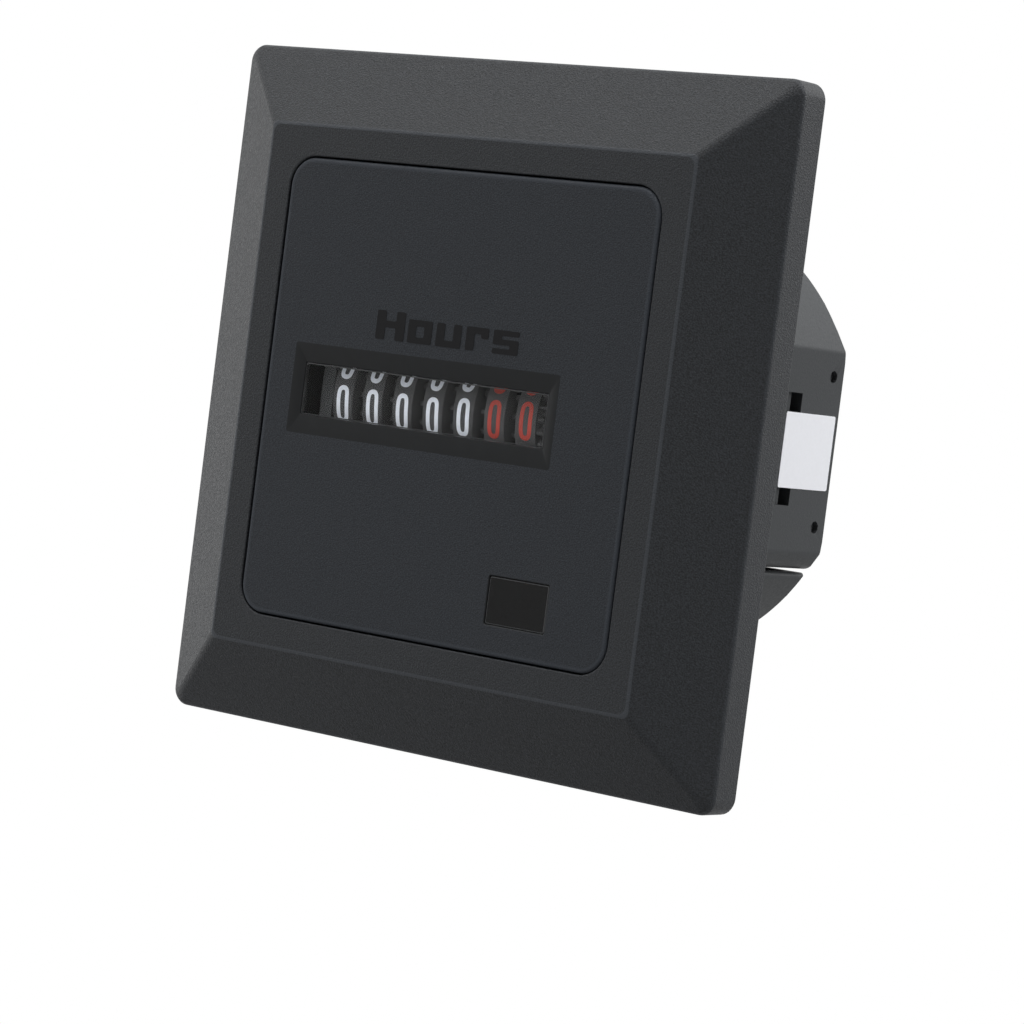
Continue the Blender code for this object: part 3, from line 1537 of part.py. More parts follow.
def build_motor_plate(stator_screws):
    """Plate between motor and train, with posts to the stator and pillars to the carrier."""
    y, z = ROTOR_AXIS
    screws = plate_screw_places()
    x0, x1 = MOTOR_PLATE_X, MOTOR_PLATE_X + MOTOR_PLATE_THICKNESS
    margin = PLATE_MARGIN
    top = max(place[1] for place in screws + stator_screws) + margin
    front = screws[0][0] - margin
    outline = [
        (front, screws[0][1] + margin * 0.8),
        (front + margin, top),
        (y + margin, top),
        (y + margin, stator_screws[0][1] - margin),
        (screws[2][0] + margin, screws[2][1] - margin),
        (screws[2][0] - margin, screws[2][1] - margin),
        (front, stator_screws[0][1]),
    ]
    plate = extruded(
        "motor_plate", rounded_outline(outline, margin / 3), "X", x0, x1, finish=GREY
    )
    post_start = STATOR_X + STATOR_THICKNESS + GAP
    for place in stator_screws:
        join(plate, rod("stator_post", POST_RADIUS, "X", post_start, x0 + GAP, place))
    for place in screws:
        join(plate, rod("pillar", POST_RADIUS, "X", x1 - GAP, RIGHT_PLATE - GAP, place))
    pilot = FINE_SCREW["shank"] + RUNNING
    for place in stator_screws:
        cut(plate, rod("post_pilot", pilot, "X", post_start - GAP, x1 + GAP, place, FINE_STEPS))
    for place in screws:
        cut(plate, rod("pillar_pilot", pilot, "X", x0 - GAP, RIGHT_PLATE, place, FINE_STEPS))
    cut(
        plate,
        rod("arbor_hole", STUD_RADIUS + RUNNING * 4, "X", x0 - GAP, x1 + GAP, (y, z), FINE_STEPS),
    )
    seat = RIGHT_PLATE + PLATE_THICKNESS + RUNNING
    for number, place in enumerate(screws, 1):
        screw("plate_screw_" + str(number), FINE_SCREW, "X", -1, seat, place)


def build_board():
    """Circuit board in the lower front of the body, with its parts behind and a lamp in front."""
    radius = CAVITY_RADIUS - BOARD_EDGE_CLEARANCE
    rear = BOARD_Y + BOARD_THICKNESS
    board = rod(
        "circuit_board", radius, "Y", BOARD_Y, rear, (0, 0), INNER_STEPS, GREEN
    )
    cut(board, box("board_top", (-FAR, BOARD_Y - GAP, -BOARD_TOP), (FAR, rear + GAP, FAR)))
    hole = SMALL_SCREW["shank"] + SNUG
    for word, angle in (("left", 180 - BOARD_PILLAR_ANGLE), ("right", BOARD_PILLAR_ANGLE)):
        place = near_wall(angle, PILLAR_RADIUS)
        cut(board, rod("board_hole", hole, "Y", BOARD_Y - GAP, rear + GAP, place))
        screw("board_screw_" + word, SMALL_SCREW, "Y", 1, BOARD_Y - RUNNING, place)
    for word, angle in (("left", 180 - FRAME_PILLAR_ANGLE), ("right", FRAME_PILLAR_ANGLE)):
        place = near_wall(angle, PILLAR_RADIUS)
        seat = BOARD_Y - GAP - BEAM_THICKNESS - RUNNING
        screw("frame_screw_" + word, SMALL_SCREW, "Y", 1, seat, place)

    base = rear + GAP
    strip_low = -CHAMBER_TOP - TERMINAL_DROP - TERMINAL_THICKNESS
    case_top = strip_low - GAP * 2
    case_end = -CRYSTAL_LENGTH / 2 - LEAD_RADIUS * 4
    rounded_case(
        "board_capacitor",
        (case_end - CAPACITOR_LENGTH, base, case_top - CAPACITOR_HEIGHT),
        (case_end, base + CAPACITOR_DEPTH, case_top),
        YELLOW,
    )
    chip_start = CRYSTAL_LENGTH / 2 + PART_SPACING
    rounded_case(
        "controller_chip",
        (chip_start, base, case_top - CHIP_HEIGHT),
        (chip_start + CHIP_LENGTH, base + CHIP_DEPTH, case_top),
        BLACK,
    )
    resistor_z = -BOARD_TOP - GAP * 2 - RESISTOR_RADIUS
    crystal_z = case_top - CAPACITOR_HEIGHT / 2
    leaded("board_resistor", RESISTOR_RADIUS, RESISTOR_LENGTH, resistor_z, base, GREY)
    leaded("clock_crystal", CRYSTAL_RADIUS, CRYSTAL_LENGTH, crystal_z, base, STEEL)
    build_lamp()


def leaded(name, radius, length, z, base, finish):
    """A part with a round body along X and a lead bent to the board at each end."""
    half = length / 2
    y = base + radius
    neck = radius * 0.3
    item = turned(
        name,
        [
            (0.0, half),
            (radius - neck, half),
            (radius, half - neck),
            (radius, neck - half),
            (radius - neck, -half),
            (0.0, -half),
        ],
        "X",
        (0.0, y, z),
        FINE_STEPS,
        finish,
    )
    for side in (-1, 1):
        bend = side * (half + LEAD_RADIUS * 3)
        span = sorted((side * (half - LEAD_RADIUS), bend))
        join(
            item,
            rod("lead", LEAD_RADIUS, "X", *span, (y, z), LEAD_STEPS),
            rod("lead_leg", LEAD_RADIUS, "Y", base - SNUG, y + LEAD_RADIUS, (bend, z), LEAD_STEPS),
        )


def rounded_case(name, low, high, finish):
    """A small moulded case whose edges are rounded."""
    case = box(name, low, high, finish)
    soft = case.modifiers.new("soft_edges", "BEVEL")
    soft.width = GAP
    soft.segments = 1
    soft.limit_method = "ANGLE"


def build_lamp():
    """Running lamp behind the indicator window, standing off the board on two leads."""
    tip = FLANGE_REAR + GAP * 3
    dome = tip + LAMP_RADIUS
    foot = HEAD_REAR + BODY_WALL + GAP
    profile = [(0.0, foot), (LAMP_RADIUS, foot)]
    for step in range(DOME_STEPS + 1):
        angle = math.pi / 2 * step / DOME_STEPS
        profile.append((LAMP_RADIUS * math.cos(angle), dome - LAMP_RADIUS * math.sin(angle)))
    profile[-1] = (0.0, tip)
    lamp = turned("indicator_lamp", profile, "Y", (LAMP_X, 0.0, LAMP_Z), SMALL_STEPS, RED)
    for side in (-1, 1):
        join(
            lamp,
            rod(
                "lamp_lead",
                LEAD_RADIUS,
                "Y",
                foot - GAP,
                BOARD_Y - GAP,
                (LAMP_X + side * LAMP_LEAD_SPREAD, LAMP_Z),
                LEAD_STEPS,
            ),
        )


build_bezel_frame()
build_front_cover()
build_housing()
build_rear_cover()
build_terminal_cover()
build_terminals()
build_counter_frame()
build_shafts()
build_counter()
build_train()
build_motor()
build_board()
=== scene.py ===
"""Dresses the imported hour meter: finer shapes, printed digits, lettering, finishes and light.

Metres, in the frame of the solids: +X right, +Y away from the reader, +Z up.
"""

import json
import math

import bmesh
import bpy
import numpy as np
from mathutils import Matrix, Vector


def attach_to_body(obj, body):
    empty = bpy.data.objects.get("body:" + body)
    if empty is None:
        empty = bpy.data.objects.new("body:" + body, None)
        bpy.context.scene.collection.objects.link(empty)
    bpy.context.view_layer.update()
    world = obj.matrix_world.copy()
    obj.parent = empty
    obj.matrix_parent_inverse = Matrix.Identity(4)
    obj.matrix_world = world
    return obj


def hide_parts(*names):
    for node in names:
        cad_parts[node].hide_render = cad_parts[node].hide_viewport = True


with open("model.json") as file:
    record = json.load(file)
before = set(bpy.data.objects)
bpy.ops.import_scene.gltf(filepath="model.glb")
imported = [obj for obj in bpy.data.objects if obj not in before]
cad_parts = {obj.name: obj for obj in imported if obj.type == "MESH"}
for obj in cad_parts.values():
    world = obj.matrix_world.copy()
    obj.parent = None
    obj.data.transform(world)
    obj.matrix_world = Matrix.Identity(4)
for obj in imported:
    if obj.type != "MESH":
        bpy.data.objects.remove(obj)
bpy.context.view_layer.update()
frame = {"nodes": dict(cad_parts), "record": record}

MM = 0.001
RECORD = frame["record"]
BODY_OF = {n: b for b, nodes in RECORD["behaviour"]["bodies"].items() for n in nodes}
SLOT_OF = {part["node"]: part["material_slot"] for part in RECORD["subparts"]}

# Sizes in millimetres, most of them the solids' own. Depths count from the panel's face and
# are negative towards the reader.

# Adapter frame
FRONT = -8.3
FACE_HALF = 36.0
RIM = -3.7
FLAT_HALF = 27.5
RIM_CORNER = 1.8
FLAT_CORNER = 0.7
OPENING_HALF = 24.25
OPENING_CORNER = 3.35
WEB_FRONT = -3.0
WEB_REAR = -1.4
BORE = 24.33
COLLAR = 26.2
WALL_HALF = 25.85
WALL_CORNER = 4.95
POCKET_FLOOR = -6.25
SHOULDER_HALF = 34.2
SHOULDER = -2.63
RIB_PLACE = 12.5
RIB_HALF = 0.6
RIB_REAR = -0.3
RIB_ROOT = 0.2

# The frame's rounded edges, and the part of its slope over which its corners turn sharp
REAR_ROUND = 0.15
RIM_ROUND = 0.55
FLAT_ROUND = 0.9
LIP_ROUND = 0.15
BLUNT_FROM = 0.06
SHARP_FROM = 0.24

# Front cover
COVER_HALF = 24.08
COVER_CORNER = 3.0
COVER_EDGE = 0.35
COVER_REAR = -5.3
COVER_INSIDE = -6.7
COVER_HOLLOW_HALF = 22.4
# Width over which the painted highlight on the cover's front edge fades out into its face
HIGHLIGHT_FADE = 0.25
MOUTH_CORNER = 0.3
PANE_ROOM = 1.25
REBATE = 0.35

# Each window: its centre, half size, the pane's depth below the front, and the mouth's half size
# at the front
COUNTER_OPENING = ((-3.05, 0.0), (16.15, 2.75), 0.35, (17.5, 4.75))
INDICATOR_OPENING = ((12.5, -18.5), (3.8, 2.45), 0.10, (3.9, 2.55))

# Window panes, and the steps of their softened edge: depth below the face, inset and corner
LENS_GAP = 0.04
FLANGE_WIDTH = 1.1
FLANGE_THICK = 0.7
FLANGE_CORNER = 0.6
PANE_CORNER = 0.2
PANE_EDGE = ((0.0, 0.12, 0.12), (0.04, 0.04, 0.17), (0.12, 0.0, PANE_CORNER))

# Body
BODY_RADIUS = 24.25
BODY_BORE = 22.75
REAR_COVER_RADIUS = 22.45
FLAT_X = 21.7

# Number drums
DRUM_Y = 1.95
DRUM_RADIUS = 7.7
DRUM_PITCH = 4.05
FIRST_DRUM_X = -15.2

# How strongly a highlight is painted on the frame's rounded rim edge, its flat's edge and the
# cover's edge, from 0 to 1
RIM_HIGHLIGHT = 0.25
FLAT_HIGHLIGHT = 0.90
COVER_HIGHLIGHT = 0.45


# Meshes

# Edges that turn more than this are rounded, by these widths in millimetres
EDGE_TURN = math.radians(32.0)
BODY_SOFT = 0.10
MOUTH_SOFT = 0.12
DRUM_SOFT = 0.05
INNER_SOFT = 0.04


def rounded_ring(half_x, half_z, radius, arc=9, side=1):
    """Once round a rectangle: corner centre + radius (cos a, sin a), straight sides in parts."""
    angles = (np.arange(4)[:, None] + np.linspace(0.0, 1.0, arc)) * np.pi / 2
    centre = np.array([[1, 1], [-1, 1], [-1, -1], [1, -1]])[:, None]
    centre = centre * np.array([half_x - radius, half_z - radius])
    ring = centre + radius * np.stack([np.cos(angles), np.sin(angles)], axis=-1)
    if side > 1:
        share = (np.arange(1, side) / side)[None, :, None]
        after = np.roll(ring, -1, axis=0)[:, :1]
        ring = np.concatenate([ring, ring[:, -1:] * (1 - share) + after * share], axis=1)
    return ring.reshape(-1, 2)


def round_like(ring, radius):
    """A circle whose points lie in the same directions as the ring's: radius * p / |p|."""
    return ring / np.linalg.norm(ring, axis=1, keepdims=True) * radius


def rows_at(sections):
    """Rings of (x, z) set at their depths y: one grid row of (x, y, z) each."""
    return np.array([np.insert(ring, 1, y, axis=1) for y, ring in sections])


def shell(points, loop=False):
    """Vertices and quads of a grid that wraps round, looped on itself or closed by flat ends."""
    rows, count = points.shape[:2]
    index = np.arange(rows * count).reshape(rows, count)
    here = index if loop else index[:-1]
    above = np.roll(index, -1, axis=0) if loop else index[1:]
    sides = [here, np.roll(here, -1, axis=1), np.roll(above, -1, axis=1), above]
    faces = np.stack(sides, axis=-1).reshape(-1, 4).tolist()
    if not loop:
        faces += [index[0][::-1].tolist(), index[-1].tolist()]
    return points.reshape(-1, 3), faces


def bent(start, corner, end, radius, steps=5):
    """Arc that rounds a corner of a profile: the circle of this radius that touches both sides."""
    start, corner, end = (np.array(p, float) for p in (start, corner, end))
    a = (start - corner) / np.linalg.norm(start - corner)
    b = (end - corner) / np.linalg.norm(end - corner)
    half = math.acos(float(a @ b)) / 2
    middle = (a + b) / np.linalg.norm(a + b)
    centre = corner + middle * radius / math.sin(half)
    first = corner + a * radius / math.tan(half) - centre
    last = corner + b * radius / math.tan(half) - centre
    share = np.linspace(0.0, 1.0, steps)[:, None]
    spread = math.pi - 2 * half
    arc = np.sin((1 - share) * spread) * first + np.sin(share * spread) * last
    return centre + arc / math.sin(spread)


def mesh_object(name, shells):
    """One object of several closed shells, in millimetres, with all faces turned outwards."""
    points, faces, count = [], [], 0
    for more, quads in shells:
        points.append(more)
        faces += [[i + count for i in face] for face in quads]
        count += len(more)
    mesh = bpy.data.meshes.new(name)
    mesh.from_pydata((np.concatenate(points) * MM).tolist(), [], faces)
    shape = bmesh.new()
    shape.from_mesh(mesh)
    bmesh.ops.recalc_face_normals(shape, faces=shape.faces)
    shape.to_mesh(mesh)
    shape.free()
    item = bpy.data.objects.new(name, mesh)
    bpy.context.scene.collection.objects.link(item)
    return item


def carve(item, tool, solver="EXACT"):
    """Cuts the tool out, whose faces keep their own finish, and removes it."""
    step = item.modifiers.new("cut", "BOOLEAN")
    step.operation = "DIFFERENCE"
    step.solver = solver
    step.material_mode = "TRANSFER"
    step.object = tool
    bpy.context.view_layer.update()
    graph = bpy.context.evaluated_depsgraph_get()
    made = bpy.data.meshes.new_from_object(item.evaluated_get(graph))
    item.modifiers.clear()
    made.name = item.data.name
    item.data = made
    bpy.data.objects.remove(tool, do_unlink=True)


def finish_edges(item, width):
    """Rounds the edges that turn more than EDGE_TURN, or keeps them sharp; flats shade flat."""
    item.data.shade_smooth()
    if width:
        soft = item.modifiers.new("soft_edges", "BEVEL")
        soft.width = width * MM
        soft.segments = 2
        soft.limit_method = "ANGLE"
        soft.angle_limit = EDGE_TURN
        soft.use_clamp_overlap = True
    else:
        item.data.set_sharp_from_angle(angle=EDGE_TURN)
    flat = item.modifiers.new("flat_shading", "WEIGHTED_NORMAL")
    flat.weight = 60
    flat.keep_sharp = True


def attach(item, node, finish):
    """The piece stands for a node: same body, the finish that it is given, and the node is no
    longer shown.
    """
    item.data.materials.clear()
    item.data.materials.append(finish)
    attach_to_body(item, BODY_OF[node])
    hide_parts(node)


def corners_of(mesh):
    """The vertex and the face of every face corner of a mesh."""
    vertex = np.empty(len(mesh.loops), np.int32)
    mesh.loops.foreach_get("vertex_index", vertex)
    count = np.empty(len(mesh.polygons), np.int32)
    mesh.polygons.foreach_get("loop_total", count)
    return vertex, np.repeat(np.arange(len(count)), count)


def read(items, field):
    """A field of three numbers of a mesh's vertices or faces."""
    values = np.empty(3 * len(items), np.float32)
    items.foreach_get(field, values)
    return values.reshape(-1, 3).astype(float)


def marked(mesh, faces):
    """The vertices that a set of faces reaches."""
    vertex, face = corners_of(mesh)
    found = np.zeros(len(mesh.vertices), bool)
    found[vertex[faces[face]]] = True
    return found


# A round wall's points lie between these shares of its radius, and its normals hardly lean
# along its axis. A flat's normal lies along an axis of the frame.
WALL_SPAN = (0.985, 1.0005)
WALL_LEAN = 0.02
FLAT_FACING = 0.999


def wall_faces(mesh, along, across, middle, size):
    """Numbers of the faces that run along a round wall, with all corners within WALL_SPAN."""
    low, high = size * WALL_SPAN[0], size * WALL_SPAN[1]
    reach = np.linalg.norm((read(mesh.vertices, "co") - middle)[:, across], axis=1)
    vertex, face = corners_of(mesh)
    outside = np.zeros(len(mesh.polygons), bool)
    outside[face[(reach[vertex] < low) | (reach[vertex] > high)]] = True
    facing = read(mesh.polygons, "normal")
    away = np.linalg.norm((read(mesh.polygons, "center") - middle)[:, across], axis=1)
    return np.flatnonzero(~outside & (np.abs(facing[:, along]) < WALL_LEAN) & (away > low))


def cut_wall(mesh, chosen, across, middle, steps):
    """Cuts these faces by planes through the wall's axis and gives the numbers of the parts."""
    shape = bmesh.new()
    shape.from_mesh(mesh)
    shape.faces.ensure_lookup_table()
    wall = [shape.faces[i] for i in chosen]
    for step in range(steps // 2):
        turn = math.pi * (step + 0.5) * 2 / steps
        normal = [0.0, 0.0, 0.0]
        normal[across[0]], normal[across[1]] = math.cos(turn), math.sin(turn)
        geometry = set(wall)
        for part in wall:
            geometry.update(part.edges)
            geometry.update(part.verts)
        cut = bmesh.ops.bisect_plane(
            shape, geom=list(geometry), dist=1e-7, plane_co=middle.tolist(), plane_no=normal
        )
        wall = [g for g in cut["geom"] if isinstance(g, bmesh.types.BMFace)]
    shape.faces.index_update()
    chosen = [part.index for part in wall]
    shape.to_mesh(mesh)
    shape.free()
    return chosen


def reround(mesh, axis, centre, radius, steps):
    """Cuts the facets of a round wall by planes through its axis and puts the cuts on the circle.

    A point goes out to radius * p / |p|, but along the flat where the wall meets one:
    there it keeps its place p on one axis and takes sqrt(radius^2 - p^2) on the other.
    """
    along = "XYZ".index(axis)
    across = [i for i in range(3) if i != along]
    middle = np.zeros(3)
    middle[across] = np.array(centre) * MM
    size = radius * MM
    chosen = wall_faces(mesh, along, across, middle, size)
    chosen = cut_wall(mesh, chosen, across, middle, steps)
    on_wall = np.zeros(len(mesh.polygons), bool)
    on_wall[chosen] = True
    flats = np.abs(read(mesh.polygons, "normal")[:, across]) > FLAT_FACING
    held = [marked(mesh, flats[:, i] & ~on_wall) for i in (0, 1)]
    points = read(mesh.vertices, "co")
    offset = (points - middle)[:, across]
    reach = np.linalg.norm(offset, axis=1)
    moved = marked(mesh, on_wall) & (reach < size * WALL_SPAN[1])
    free = moved & ~held[0] & ~held[1]
    offset[free] *= size / reach[free, None]
    for i in (0, 1):
        along_flat = moved & held[i] & ~held[1 - i]
        span = np.sqrt(np.maximum(size**2 - offset[along_flat, i] ** 2, 0.0))
        offset[along_flat, 1 - i] = np.copysign(span, offset[along_flat, 1 - i])
    points[:, across] = offset + middle[across]
    mesh.vertices.foreach_set("co", points.ravel())
    mesh.update()


# How far a knife stands out past the corner that it takes off
KNIFE_REACH = 0.3


def corner_knife(level, above, radius, start, end, flip=(1, 1), upright=False):
    """Prism between an arc and the corner that it rounds, where a flat meets the round wall.

    The flat is z = level, or x = level if upright. The arc's centre lies one radius inside the
    flat and BODY_RADIUS - radius from the axis, so that the arc touches both of them.
    """
    sign = 1 if above else -1
    centre_z = level + sign * radius
    centre = np.array([math.sqrt((BODY_RADIUS - radius) ** 2 - centre_z**2), centre_z])
    angles = np.linspace(-sign * math.pi / 2, math.atan2(centre[1], centre[0]), 9)
    arc = centre + radius * np.stack([np.cos(angles), np.sin(angles)], axis=1)
    corner = np.array([math.sqrt(BODY_RADIUS**2 - level**2), level])
    outward = (corner - centre) / np.linalg.norm(corner - centre)
    ring = np.concatenate([arc, [corner + outward * KNIFE_REACH]])
    if upright:
        ring = ring[:, ::-1]
    return shell(rows_at([(start, ring * flip), (end, ring * flip)]))


def dress(node, finish, soft, rounds=(), knives=()):
    """A merged copy of a solid with fine round walls, rounded corners and softened edges."""
    item = bpy.data.objects.new(node + "_dressed", frame["nodes"][node].data.copy())
    bpy.context.scene.collection.objects.link(item)
    shape = bmesh.new()
    shape.from_mesh(item.data)
    bmesh.ops.remove_doubles(shape, verts=shape.verts, dist=2e-6)
    shape.to_mesh(item.data)
    shape.free()
    for axis, centre, radius, steps in rounds:
        reround(item.data, axis, centre, radius, steps)
    for knife in knives:
        carve(item, mesh_object("corner_knife", [knife]), "MANIFOLD")
    finish_edges(item, soft)
    attach(item, node, finish)


# Finishes

# How much lighter the colour is where a highlight is painted on, and a wave texture's waves at
# scale 1
HIGHLIGHT_LIGHTER = 2.6
WAVES_PER_METRE = 20 / (2 * math.pi)


class Finish:
    """A procedural material: its shader, and nodes added behind it."""

    def __init__(self, name, colour, roughness, metallic=0.0, specular=0.5):
        """Plain constants on the shader; every pattern lies on Object coordinates."""
        self.material = bpy.data.materials.new(name)
        self.material.use_nodes = True
        self.tree = self.material.node_tree
        self.shader = self.tree.nodes["Principled BSDF"]
        self.colour = (*colour, 1.0)
        self.set("Base Color", self.colour)
        self.set("Roughness", roughness)
        self.set("Metallic", metallic)
        self.set("Specular IOR Level", specular)
        place = self.tree.nodes.new("ShaderNodeTexCoord")
        self.place = place.outputs["Object"]

    def set(self, socket, value):
        """Gives one of the shader's sockets a constant."""
        self.shader.inputs[socket].default_value = value

    def noise(self, per_mm, detail=2.0, stretch=(1.0, 1.0, 1.0)):
        """Noise with this many cells to a millimetre, fewer where an axis is scaled down."""
        mapping = self.tree.nodes.new("ShaderNodeMapping")
        mapping.inputs["Scale"].default_value = stretch
        self.tree.links.new(self.place, mapping.inputs["Vector"])
        noise = self.tree.nodes.new("ShaderNodeTexNoise")
        noise.inputs["Scale"].default_value = per_mm / MM
        noise.inputs["Detail"].default_value = detail
        self.tree.links.new(mapping.outputs[0], noise.inputs["Vector"])
        return noise.outputs["Fac"]

    def cells(self, per_mm):
        """Rounded grains with this many to a millimetre."""
        grain = self.tree.nodes.new("ShaderNodeTexVoronoi")
        grain.feature = "SMOOTH_F1"
        grain.inputs["Scale"].default_value = per_mm / MM
        grain.inputs["Smoothness"].default_value = 0.6
        self.tree.links.new(self.place, grain.inputs["Vector"])
        return grain.outputs["Distance"]

    def bands(self, per_mm, axis):
        """Waves with this many to a millimetre along an axis."""
        wave = self.tree.nodes.new("ShaderNodeTexWave")
        wave.bands_direction = axis
        wave.wave_profile = "SIN"
        wave.inputs["Scale"].default_value = per_mm / MM / WAVES_PER_METRE
        self.tree.links.new(self.place, wave.inputs["Vector"])
        return wave.outputs["Fac"]

    def spread(self, source, low, high):
        """Takes a 0 to 1 pattern to the range low to high."""
        node = self.tree.nodes.new("ShaderNodeMapRange")
        node.inputs["From Min"].default_value = 0.3
        node.inputs["From Max"].default_value = 0.7
        node.inputs["To Min"].default_value = low
        node.inputs["To Max"].default_value = high
        self.tree.links.new(source, node.inputs["Value"])
        return node.outputs["Result"]

    def rough(self, source, low, high):
        """Roughness from low to high by a pattern."""
        self.tree.links.new(self.spread(source, low, high), self.shader.inputs["Roughness"])

    def shade(self, times):
        """The colour, so many times as bright."""
        return (*[min(1.0, c * times) for c in self.colour[:3]], 1.0)

    def shades(self, source, darker, lighter):
        """Two shades of the colour, mixed by a pattern."""
        ramp = self.tree.nodes.new("ShaderNodeValToRGB")
        ends = ramp.color_ramp.elements
        ends[0].position, ends[1].position = 0.3, 0.7
        ends[0].color, ends[1].color = self.shade(darker), self.shade(lighter)
        self.tree.links.new(source, ramp.inputs["Fac"])
        return ramp.outputs["Color"]

    def tint(self, source, darker, lighter):
        """Base colour in two shades by a pattern."""
        colour = self.shades(source, darker, lighter)
        self.tree.links.new(colour, self.shader.inputs["Base Color"])

    def painted_highlight(self, source, darker, lighter):
        """Tints by a pattern, then paints a highlight on: lighter where the mesh's painted
        highlight share is high.
        """
        lit_share = self.tree.nodes.new("ShaderNodeAttribute")
        lit_share.attribute_name = "painted_highlight"
        mix = self.tree.nodes.new("ShaderNodeMix")
        mix.data_type = "RGBA"
        self.tree.links.new(lit_share.outputs["Fac"], mix.inputs["Factor"])
        self.tree.links.new(self.shades(source, darker, lighter), mix.inputs[6])
        # The painted highlight's colour: the moulding's own colour made several times as bright
        mix.inputs[7].default_value = self.shade(HIGHLIGHT_LIGHTER)
        self.tree.links.new(mix.outputs[2], self.shader.inputs["Base Color"])

    def bump(self, source, depth_mm, under=None):
        """Height from a pattern, of this depth in millimetres."""
        node = self.tree.nodes.new("ShaderNodeBump")
        node.inputs["Distance"].default_value = depth_mm * MM
        node.inputs["Strength"].default_value = 1.0
        self.tree.links.new(source, node.inputs["Height"])
        if under:
            self.tree.links.new(under, node.inputs["Normal"])
        self.tree.links.new(node.outputs[0], self.shader.inputs["Normal"])
        return node.outputs[0]

    def lets_lamps_through(self):
        """Clear moulding: light from the lamps goes straight on through it."""
        path = self.tree.nodes.new("ShaderNodeLightPath")
        clear = self.tree.nodes.new("ShaderNodeBsdfTransparent")
        mix = self.tree.nodes.new("ShaderNodeMixShader")
        output = self.tree.nodes["Material Output"]
        self.tree.links.new(path.outputs["Is Shadow Ray"], mix.inputs[0])
        self.tree.links.new(self.shader.outputs[0], mix.inputs[1])
        self.tree.links.new(clear.outputs[0], mix.inputs[2])
        self.tree.links.new(mix.outputs[0], output.inputs["Surface"])


def moulding(name, colour, roughness, grain, depth, specular, speck):
    """Moulded plastic with a spark-eroded texture: fine grains that catch the light singly."""
    made = Finish(name, colour, roughness, specular=specular)
    # Speckled tint from the grain, plus a painted highlight where the mesh carries one
    made.painted_highlight(made.noise(grain, 1.0), 1.0 - speck, 1.0 + speck)
    made.rough(made.noise(grain * 0.6, 2.0), roughness - 0.06, roughness + 0.08)
    low = made.bump(made.noise(grain, 2.0), depth)
    made.bump(made.cells(grain * 0.8), depth * 0.5, under=low)
    return made.material


def satin(name, colour, roughness, specular=0.4):
    """Smooth moulded plastic with a faint flow pattern."""
    made = Finish(name, colour, roughness, specular=specular)
    made.tint(made.noise(0.5, 3.0), 0.93, 1.06)
    made.rough(made.noise(0.8, 3.0), roughness - 0.05, roughness + 0.06)
    made.bump(made.noise(6.0, 2.0), 0.004)
    return made.material


def metal(name, colour, roughness, lines=(1.0, 1.0, 1.0)):
    """Plain metal with drawn or turned lines."""
    made = Finish(name, colour, roughness, metallic=1.0)
    made.tint(made.noise(1.5, 3.0, lines), 0.90, 1.06)
    made.rough(made.noise(4.0, 3.0, lines), roughness - 0.07, roughness + 0.10)
    made.bump(made.noise(9.0, 2.0, lines), 0.003)
    return made.material


def ink(name, colour, roughness, uneven=0.08, specular=0.4):
    """Printed ink, a little uneven."""
    made = Finish(name, colour, roughness, specular=specular)
    made.tint(made.noise(3.0, 3.0), 1.0 - uneven, 1.0 + uneven / 3)
    made.rough(made.noise(5.0, 2.0), roughness - 0.05, roughness + 0.08)
    made.bump(made.noise(14.0, 2.0), 0.004)
    return made.material


def clear_moulding(name, colour, roughness, ior=1.16):
    """See-through moulding, polished, with faint haze and hardly any glare."""
    made = Finish(name, colour, roughness)
    made.set("Transmission Weight", 1.0)
    made.set("IOR", ior)
    made.rough(made.noise(0.4, 3.0), roughness, roughness + 0.03)
    made.lets_lamps_through()
    return made.material


# Mouldings: colour, roughness, grains to a millimetre, their depth, gloss and unevenness
FRAME_BLACK = moulding("frame_texture", (0.018, 0.020, 0.023), 0.48, 6.5, 0.060, 0.24, 0.60)
COVER_BLACK = moulding("cover_texture", (0.0205, 0.0235, 0.0285), 0.54, 7.0, 0.050, 0.20, 0.45)
BODY_BLACK = moulding("body_texture", (0.047, 0.050, 0.053), 0.46, 6.0, 0.010, 0.13, 0.08)

MOUTH_BLACK = satin("window_mouth", (0.012, 0.013, 0.014), 0.34, 0.15)
GREY = satin("carrier_grey", (0.040, 0.042, 0.044), 0.50, 0.2)
BLACK = satin("drum_black", (0.064, 0.064, 0.066), 0.60, 0.12)
NYLON = satin("natural_gear_nylon", (0.72, 0.70, 0.64), 0.42)
BRASS = metal("drawn_brass", (0.72, 0.53, 0.25), 0.30, (1.0, 0.2, 1.0))
STEEL = metal("plated_steel", (0.60, 0.61, 0.62), 0.28, (0.2, 1.0, 1.0))
WHITE_INK = ink("white_digits", (0.78, 0.81, 0.88), 0.45)
RED_INK = ink("red_digits", (0.40, 0.038, 0.022), 0.45)
BLACK_INK = ink("black_lettering", (0.008, 0.008, 0.009), 0.50, specular=0.12)
CLEAR = clear_moulding("clear_lens", (0.95, 0.96, 0.96), 0.02)
SMOKED = clear_moulding("smoked_lens", (0.030, 0.032, 0.036), 0.12, 1.28)
PAPER = ink("label_stock", (0.83, 0.84, 0.88), 0.60, 0.02)
# Opaque lighter grey for the panes' chamfered edge: a painted highlight where the chamfer catches
# the light
LENS_EDGE_HIGHLIGHT = satin("lens_edge_highlight", (0.075, 0.077, 0.080), 0.40, 0.2)
LAMP = clear_moulding("lamp_resin", (0.75, 0.10, 0.06), 0.12)
YELLOW = satin("capacitor_resin", (0.75, 0.55, 0.08), 0.35)


